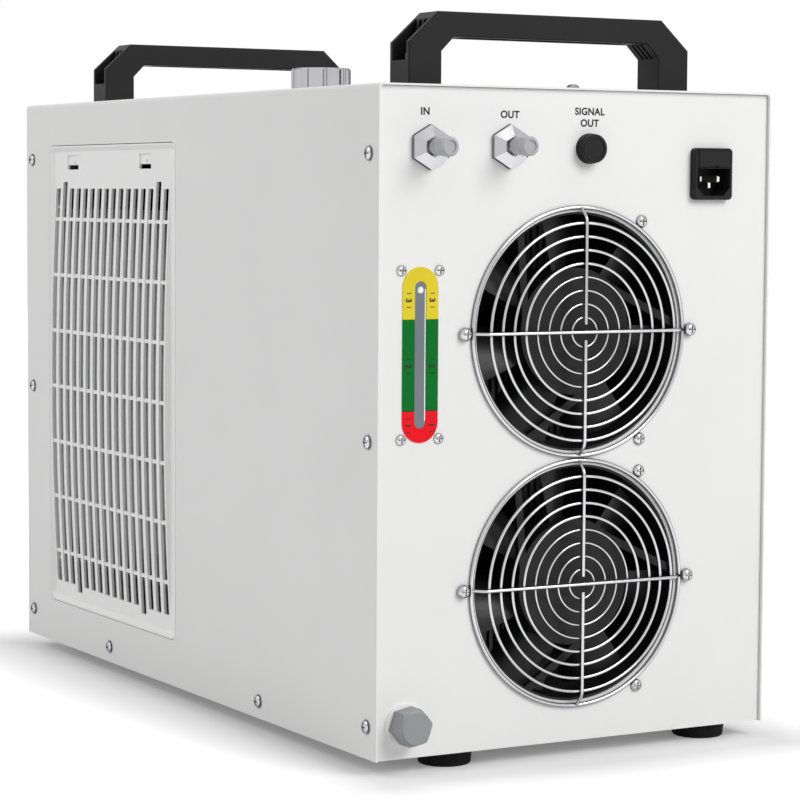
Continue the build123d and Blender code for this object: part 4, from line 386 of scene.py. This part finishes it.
materials = {}
for looks in (PAINTS_AND_PLASTICS, METALS):
    for name, look in looks.items():
        materials[name] = finish_material(name, **look)
materials["gauge_print"] = gauge_print_material()
materials["gauge_clear"] = clear_material(
    "gauge_clear", color=(0.20, 0.235, 0.27), rough=0.12, transmission=0.2)
materials["dark_window"] = clear_material(
    "dark_window", color=(0.05, 0.012, 0.012), rough=0.06, transmission=0.0)
materials["filter_cloth"] = net_material()

NODE_LOOKS = {
    "upper_fan_rotor": "rotor_black",
    "lower_fan_rotor": "rotor_black",
    # painted shade: the condenser gets the black look instead of its own metal, for the dark inside seen
    # through the fans
    "condenser": "compressor_black",
}


def dress_nodes():
    for part in frame["record"]["subparts"]:
        name = part["node"]
        look = NODE_LOOKS.get(name, part["material_slot"])
        slots = nodes[name].data.materials
        slots.clear()
        slots.append(materials[look])


dress_nodes()


# Making of pieces

def link(name, data):
    made = bpy.data.objects.new(name, data)
    bpy.context.scene.collection.objects.link(made)
    return made


def casing_piece(name, data, look):
    # a piece that is fixed to the casing
    data.materials.append(materials[look])
    piece = link(name, data)
    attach(piece, "casing")
    return piece


# Wire guards of the fans

BEVEL = 1.0
BEVEL_STEPS = 4
RIM_R, RIM_WIRE = 77.8, 1.3
RING_WIRE, RING_R0, RING_STEP, RING_COUNT = 1.0, 9.2, 8.4, 8
THIN_RING_WIRE, THIN_RING_COUNT = 0.65, 4
RING_LIFT, SPOKE_LIFT = 5.2, 1.6
SPOKE_WIRE, SPOKE_BEND_R, SPOKE_GAP, SPOKE_ROUND = 1.1, 71.0, 5.0, 3.0
EYE_X, EYE_R, EYE_WIRE, EYE_LIFT, EYE_SIDES = 83.5, 3.3, 0.9, 0.1, 32
CIRCLE_SIDES = 120
ROUND_STEPS = 6


def wire_data(name, runs):
    # round wires: each run is (points, radius, closed)
    data = bpy.data.curves.new(name, "CURVE")
    data.dimensions = "3D"
    data.bevel_depth = BEVEL * MM
    data.bevel_resolution = BEVEL_STEPS
    data.use_fill_caps = True
    for points, radius, closed in runs:
        spline = data.splines.new("POLY")
        spline.points.add(len(points) - 1)
        for spot, place in zip(spline.points, points):
            spot.co = (*place, 1)
            spot.radius = radius / BEVEL
        spline.use_cyclic_u = closed
    return data


def circle_points(x, y, z, radius, sides=CIRCLE_SIDES):
    turns = [2 * math.pi * k / sides for k in range(sides)]
    return [at(x + radius * math.cos(a), y, z + radius * math.sin(a)) for a in turns]


def rounded_run(points, bend):
    # the corners of a bent wire, each drawn as a short curve
    run = [Vector(points[0])]
    for before, corner, after in zip(points, points[1:], points[2:]):
        before, corner, after = Vector(before), Vector(corner), Vector(after)
        start = corner + (before - corner).normalized() * bend
        end = corner + (after - corner).normalized() * bend
        for k in range(ROUND_STEPS + 1):
            t = k / ROUND_STEPS
            run.append(start.lerp(corner, t).lerp(corner.lerp(end, t), t))
    run.append(Vector(points[-1]))
    return [at(*point) for point in run]


def guard_rings(z, rim_y, ring_y):
    runs = [(circle_points(0, rim_y, z, RIM_R), RIM_WIRE, True)]
    for k in range(RING_COUNT):
        wire = THIN_RING_WIRE if k < THIN_RING_COUNT else RING_WIRE
        runs.append((circle_points(0, ring_y, z, RING_R0 + k * RING_STEP), wire, True))
    return runs


def guard_spokes(z, rim_y, spoke_y):
    # one level wire from side to side, and two upright ones that stop short of it
    bend = SPOKE_BEND_R
    level = [(-RIM_R, rim_y, z), (-bend, spoke_y, z), (bend, spoke_y, z), (RIM_R, rim_y, z)]
    runs = [(rounded_run(level, SPOKE_ROUND), SPOKE_WIRE, False)]
    for up in (1, -1):
        inner, outer, foot = z + up * SPOKE_GAP, z + up * bend, z + up * RIM_R
        upright = [(0, spoke_y, inner), (0, spoke_y, outer), (0, rim_y, foot)]
        runs.append((rounded_run(upright, SPOKE_ROUND), SPOKE_WIRE, False))
    return runs


def guard_eyes(z):
    eye_y = PANEL_OUT + EYE_LIFT + EYE_WIRE
    return [(circle_points(side * EYE_X, eye_y, z, EYE_R, EYE_SIDES), EYE_WIRE, True) for side in (1, -1)]


def make_guard(fan):
    low, high = box_mm(f"{fan}_fan_guard")
    z = (low.z + high.z) / 2
    rim_y = PANEL_OUT + RIM_WIRE
    ring_y = rim_y + RING_LIFT
    runs = guard_rings(z, rim_y, ring_y) + guard_spokes(z, rim_y, ring_y + SPOKE_LIFT) + guard_eyes(z)
    name = f"{fan}_guard_wires"
    guard = casing_piece(name, wire_data(name, runs), "chrome")
    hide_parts(f"{fan}_fan_guard")


for fan in ("upper", "lower"):
    make_guard(fan)


# Words over the ports

LETTER_SIZE, LETTER_BOLD, LETTER_SPACING = 6.2, 0.2, 1.06
INK_LIFT, INK_T = 0.04, 0.03

# node under the word, piece, word, how far aside from the node's middle, how far over its top
WORDS = (
    ("inlet_fitting", "inlet_word", "IN", 3.0, 5.75),
    ("outlet_fitting", "outlet_word", "OUT", -0.6, 3.85),
    ("alarm_socket", "alarm_word_top", "SIGNAL", -0.5, 11.5),
    ("alarm_socket", "alarm_word_low", "OUT", -0.5, 4.3),
)


def lettering(name, text, x, z, size=LETTER_SIZE, face=PANEL_OUT, turn=0.0):
    # dark letters on the back, read from behind the object; turn is in degrees, anticlockwise
    data = bpy.data.curves.new(name, "FONT")
    data.body = text
    data.align_x = "CENTER"
    data.size = size * MM
    data.offset = LETTER_BOLD * MM
    data.extrude = INK_T * MM
    data.space_character = LETTER_SPACING
    words = casing_piece(name, data, "ink")
    upright = Matrix.Rotation(math.pi, 4, "Z") @ Matrix.Rotation(math.pi / 2, 4, "X")
    turned = upright @ Matrix.Rotation(math.radians(turn), 4, "Z")
    words.matrix_world = Matrix.Translation(at(x, face + INK_LIFT, z)) @ turned


for node, piece, word, aside, above in WORDS:
    box_low, box_high = box_mm(node)
    lettering(piece, word, (box_low.x + box_high.x) / 2 + aside, box_high.z + above)


# Level gauge: numbers, marks, and painted highlights on the tube: a silver ball and an edge line

NUMBER_X, NUMBER_SIZE, HALF_CAP = 8.2, 5.4, 0.36
MARK_RISE, MARK_W, FIELD_LINE_W, MARK_T = 4.2, 3.2, 7.6, 0.5
PLATE_DEPTH = 0.04
# the painted highlight ball: radius, seam, how deep it sits, and its rings
HIGHLIGHT_BALL_R, HIGHLIGHT_BALL_SEAM, HIGHLIGHT_BALL_SINK = 2.5, 0.12, 0.8
HIGHLIGHT_BALL_RINGS, LATHE_SIDES = 24, 40
# the painted highlight line along the level tube's edge: how far aside, width, length and lift
TUBE_HIGHLIGHT_X, TUBE_HIGHLIGHT_W, TUBE_HIGHLIGHT_LENGTH, TUBE_HIGHLIGHT_LIFT = 3.3, 0.6, 80.0, 0.28


def plate_mesh(name, plates):
    # thin upright plates facing back, in one mesh: each (x, y, z, width, height)
    corners, faces = [], []
    for x, y, z, width, height in plates:
        first = len(corners)
        for depth in (0, PLATE_DEPTH):
            for sx, sz in ((-1, -1), (1, -1), (1, 1), (-1, 1)):
                corners.append(at(x + sx * width / 2, y + depth, z + sz * height / 2))
        sides = ((0, 1, 2, 3), (7, 6, 5, 4), (0, 4, 5, 1), (1, 5, 6, 2), (2, 6, 7, 3), (3, 7, 4, 0))
        faces += [tuple(first + k for k in side) for side in sides]
    mesh = bpy.data.meshes.new(name)
    mesh.from_pydata(corners, [], faces)
    return mesh


def make_gauge_marks():
    # plain numbers on their side beside the slot, a short mark above and below each, and the field line
    line_z = GAUGE_Z + RED_TOP
    marks = [(GAUGE_X + side * NUMBER_X, GAUGE_FACE, line_z, FIELD_LINE_W, MARK_T) for side in (1, -1)]
    for number, height in NUMBER_HEIGHTS.items():
        z = GAUGE_Z + height
        for side, name in ((1, "left"), (-1, "right")):
            x = GAUGE_X + side * NUMBER_X
            foot = x + NUMBER_SIZE * HALF_CAP
            lettering(f"gauge_{number}_{name}", number, foot, z, NUMBER_SIZE, GAUGE_FACE, -90)
            for up in (1, -1):
                marks.append((x, GAUGE_FACE, z + up * MARK_RISE, MARK_W, MARK_T))
    casing_piece("gauge_marks", plate_mesh("gauge_marks", marks), "ink")


def lathe_mesh(name, profile, centre):
    # a turned form about the upright axis: the profile holds (radius, height) from low to high
    sides = LATHE_SIDES
    corners, faces = [], []
    for radius, height in profile:
        for k in range(sides):
            a = 2 * math.pi * k / sides
            corners.append(centre + at(radius * math.cos(a), radius * math.sin(a), height))
    for ring in range(len(profile) - 1):
        low, high = ring * sides, (ring + 1) * sides
        for k in range(sides):
            n = (k + 1) % sides
            faces.append((low + k, low + n, high + n, high + k))
    last = (len(profile) - 1) * sides
    faces.append(tuple(reversed(range(sides))))
    faces.append(tuple(range(last, last + sides)))
    mesh = bpy.data.meshes.new(name)
    mesh.from_pydata(corners, [], faces)
    for face in mesh.polygons:
        face.use_smooth = True
    return mesh


def make_highlight_ball():
    # painted highlight: a silver ball, with the seam of two halves, set at the top of the level tube
    # where light catches the tube
    centre = at(GAUGE_X, PANEL_OUT - HIGHLIGHT_BALL_SINK, GAUGE_Z + HIGHLIGHT_BALL_HEIGHT)
    profile = []
    for k in range(1, HIGHLIGHT_BALL_RINGS):
        a = math.pi * (k / HIGHLIGHT_BALL_RINGS - 0.5)
        seam = HIGHLIGHT_BALL_SEAM if 2 * k == HIGHLIGHT_BALL_RINGS else 0.0
        profile.append(((HIGHLIGHT_BALL_R - seam) * math.cos(a), HIGHLIGHT_BALL_R * math.sin(a)))
    casing_piece("gauge_highlight_ball", lathe_mesh("gauge_highlight_ball", profile, centre), "highlight_silver")


def make_tube_highlight():
    # painted highlight: a thin silver plate for the light caught along the edge of the level tube
    x, y = GAUGE_X - TUBE_HIGHLIGHT_X, PANEL_OUT + TUBE_HIGHLIGHT_LIFT
    mesh = plate_mesh("gauge_tube_highlight", [(x, y, GAUGE_Z, TUBE_HIGHLIGHT_W, TUBE_HIGHLIGHT_LENGTH)])
    casing_piece("gauge_tube_highlight", mesh, "highlight_silver")


make_gauge_marks()
make_highlight_ball()
make_tube_highlight()


# Stage: lamps as name, place, target, side and power

LAMPS = (
    ("key", (-0.9, 2.4, 1.9), (0, 0.1, 0.2), 1.6, 51),
    ("side", (1.5, -0.3, 1.6), (0.1, -0.1, 0.3), 1.0, 10.5),
)

# strength of the world as light on the object, and as metal, glass and the camera show it
WORLD_LIGHT, WORLD_SEEN = 0.42, 1.0

# the floor's own colour, and the white that is added where a ray shows it: little near the object, where
# its shadow lies, and more further out
# the low white near the object also paints the floor darker there: a painted shadow, on top of the
# rendered one
FLOOR_HALF = 6.0
FLOOR_COLOR = (0.72, 0.72, 0.72, 1)
FLOOR_WHITE_NEAR, FLOOR_WHITE_FAR = 0.16, 0.8
SHADOW_REACH = 0.11
WHITE = (1, 1, 1, 1)


def area_light(name, place, target, side, power):
    data = bpy.data.lights.new(name, "AREA")
    data.shape = "RECTANGLE"
    data.size = side
    data.size_y = side
    data.energy = power
    lamp = link(name, data)
    lamp.location = place
    lamp.rotation_euler = (Vector(target) - Vector(place)).to_track_quat("-Z", "Y").to_euler()


def seen_strength(tree, hidden, shown):
    # one strength for light on the object, another for what the camera, metal and glass show
    path = tree.nodes.new("ShaderNodeLightPath")
    seen = path.outputs["Is Camera Ray"]
    for ray in ("Is Glossy Ray", "Is Transmission Ray"):
        seen = math_node(tree, "MAXIMUM", seen, path.outputs[ray])
    return range_node(tree, seen, 0.0, 1.0, hidden, shown)


def make_world():
    world = bpy.data.worlds.new("studio")
    bpy.context.scene.world = world
    world.use_nodes = True
    tree = world.node_tree
    back = tree.nodes["Background"]
    back.inputs["Color"].default_value = WHITE
    tree.links.new(seen_strength(tree, WORLD_LIGHT, WORLD_SEEN), back.inputs["Strength"])


def vector_node(tree, operation, first, second=None):
    made = tree.nodes.new("ShaderNodeVectorMath")
    made.operation = operation
    tree.links.new(first, made.inputs[0])
    if second:
        made.inputs[1].default_value = second
    return made.outputs


def floor_strength(tree):
    # grows with the distance from the rectangle that the object covers, so the floor near the object's
    # foot is painted darker
    half_width, half_length = cad_box[1][0], cad_box[1][1]
    mirrored = vector_node(tree, "ABSOLUTE", place_node(tree))[0]
    past = vector_node(tree, "SUBTRACT", mirrored, (half_width, half_length, 0))[0]
    outside = vector_node(tree, "MAXIMUM", past, (0, 0, 0))[0]
    distance = vector_node(tree, "LENGTH", outside)["Value"]
    white = range_node(tree, distance, 0.0, SHADOW_REACH, FLOOR_WHITE_NEAR, FLOOR_WHITE_FAR)
    return math_node(tree, "MULTIPLY", white, seen_strength(tree, 0.0, 1.0))


def make_floor():
    half = FLOOR_HALF
    corners = [(-half, -half, 0), (half, -half, 0), (half, half, 0), (-half, half, 0)]
    mesh = bpy.data.meshes.new("studio_floor")
    mesh.from_pydata(corners, [], [(0, 1, 2, 3)])
    floor = link("studio_floor", mesh)
    made, tree, shader = new_material("studio_floor")
    shader.inputs["Base Color"].default_value = FLOOR_COLOR
    shader.inputs["Roughness"].default_value = 0.7
    shader.inputs["Specular IOR Level"].default_value = 0.2
    shader.inputs["Emission Color"].default_value = WHITE
    tree.links.new(floor_strength(tree), shader.inputs["Emission Strength"])
    mesh.materials.append(made)


make_world()
make_floor()
for lamp in LAMPS:
    area_light(*lamp)
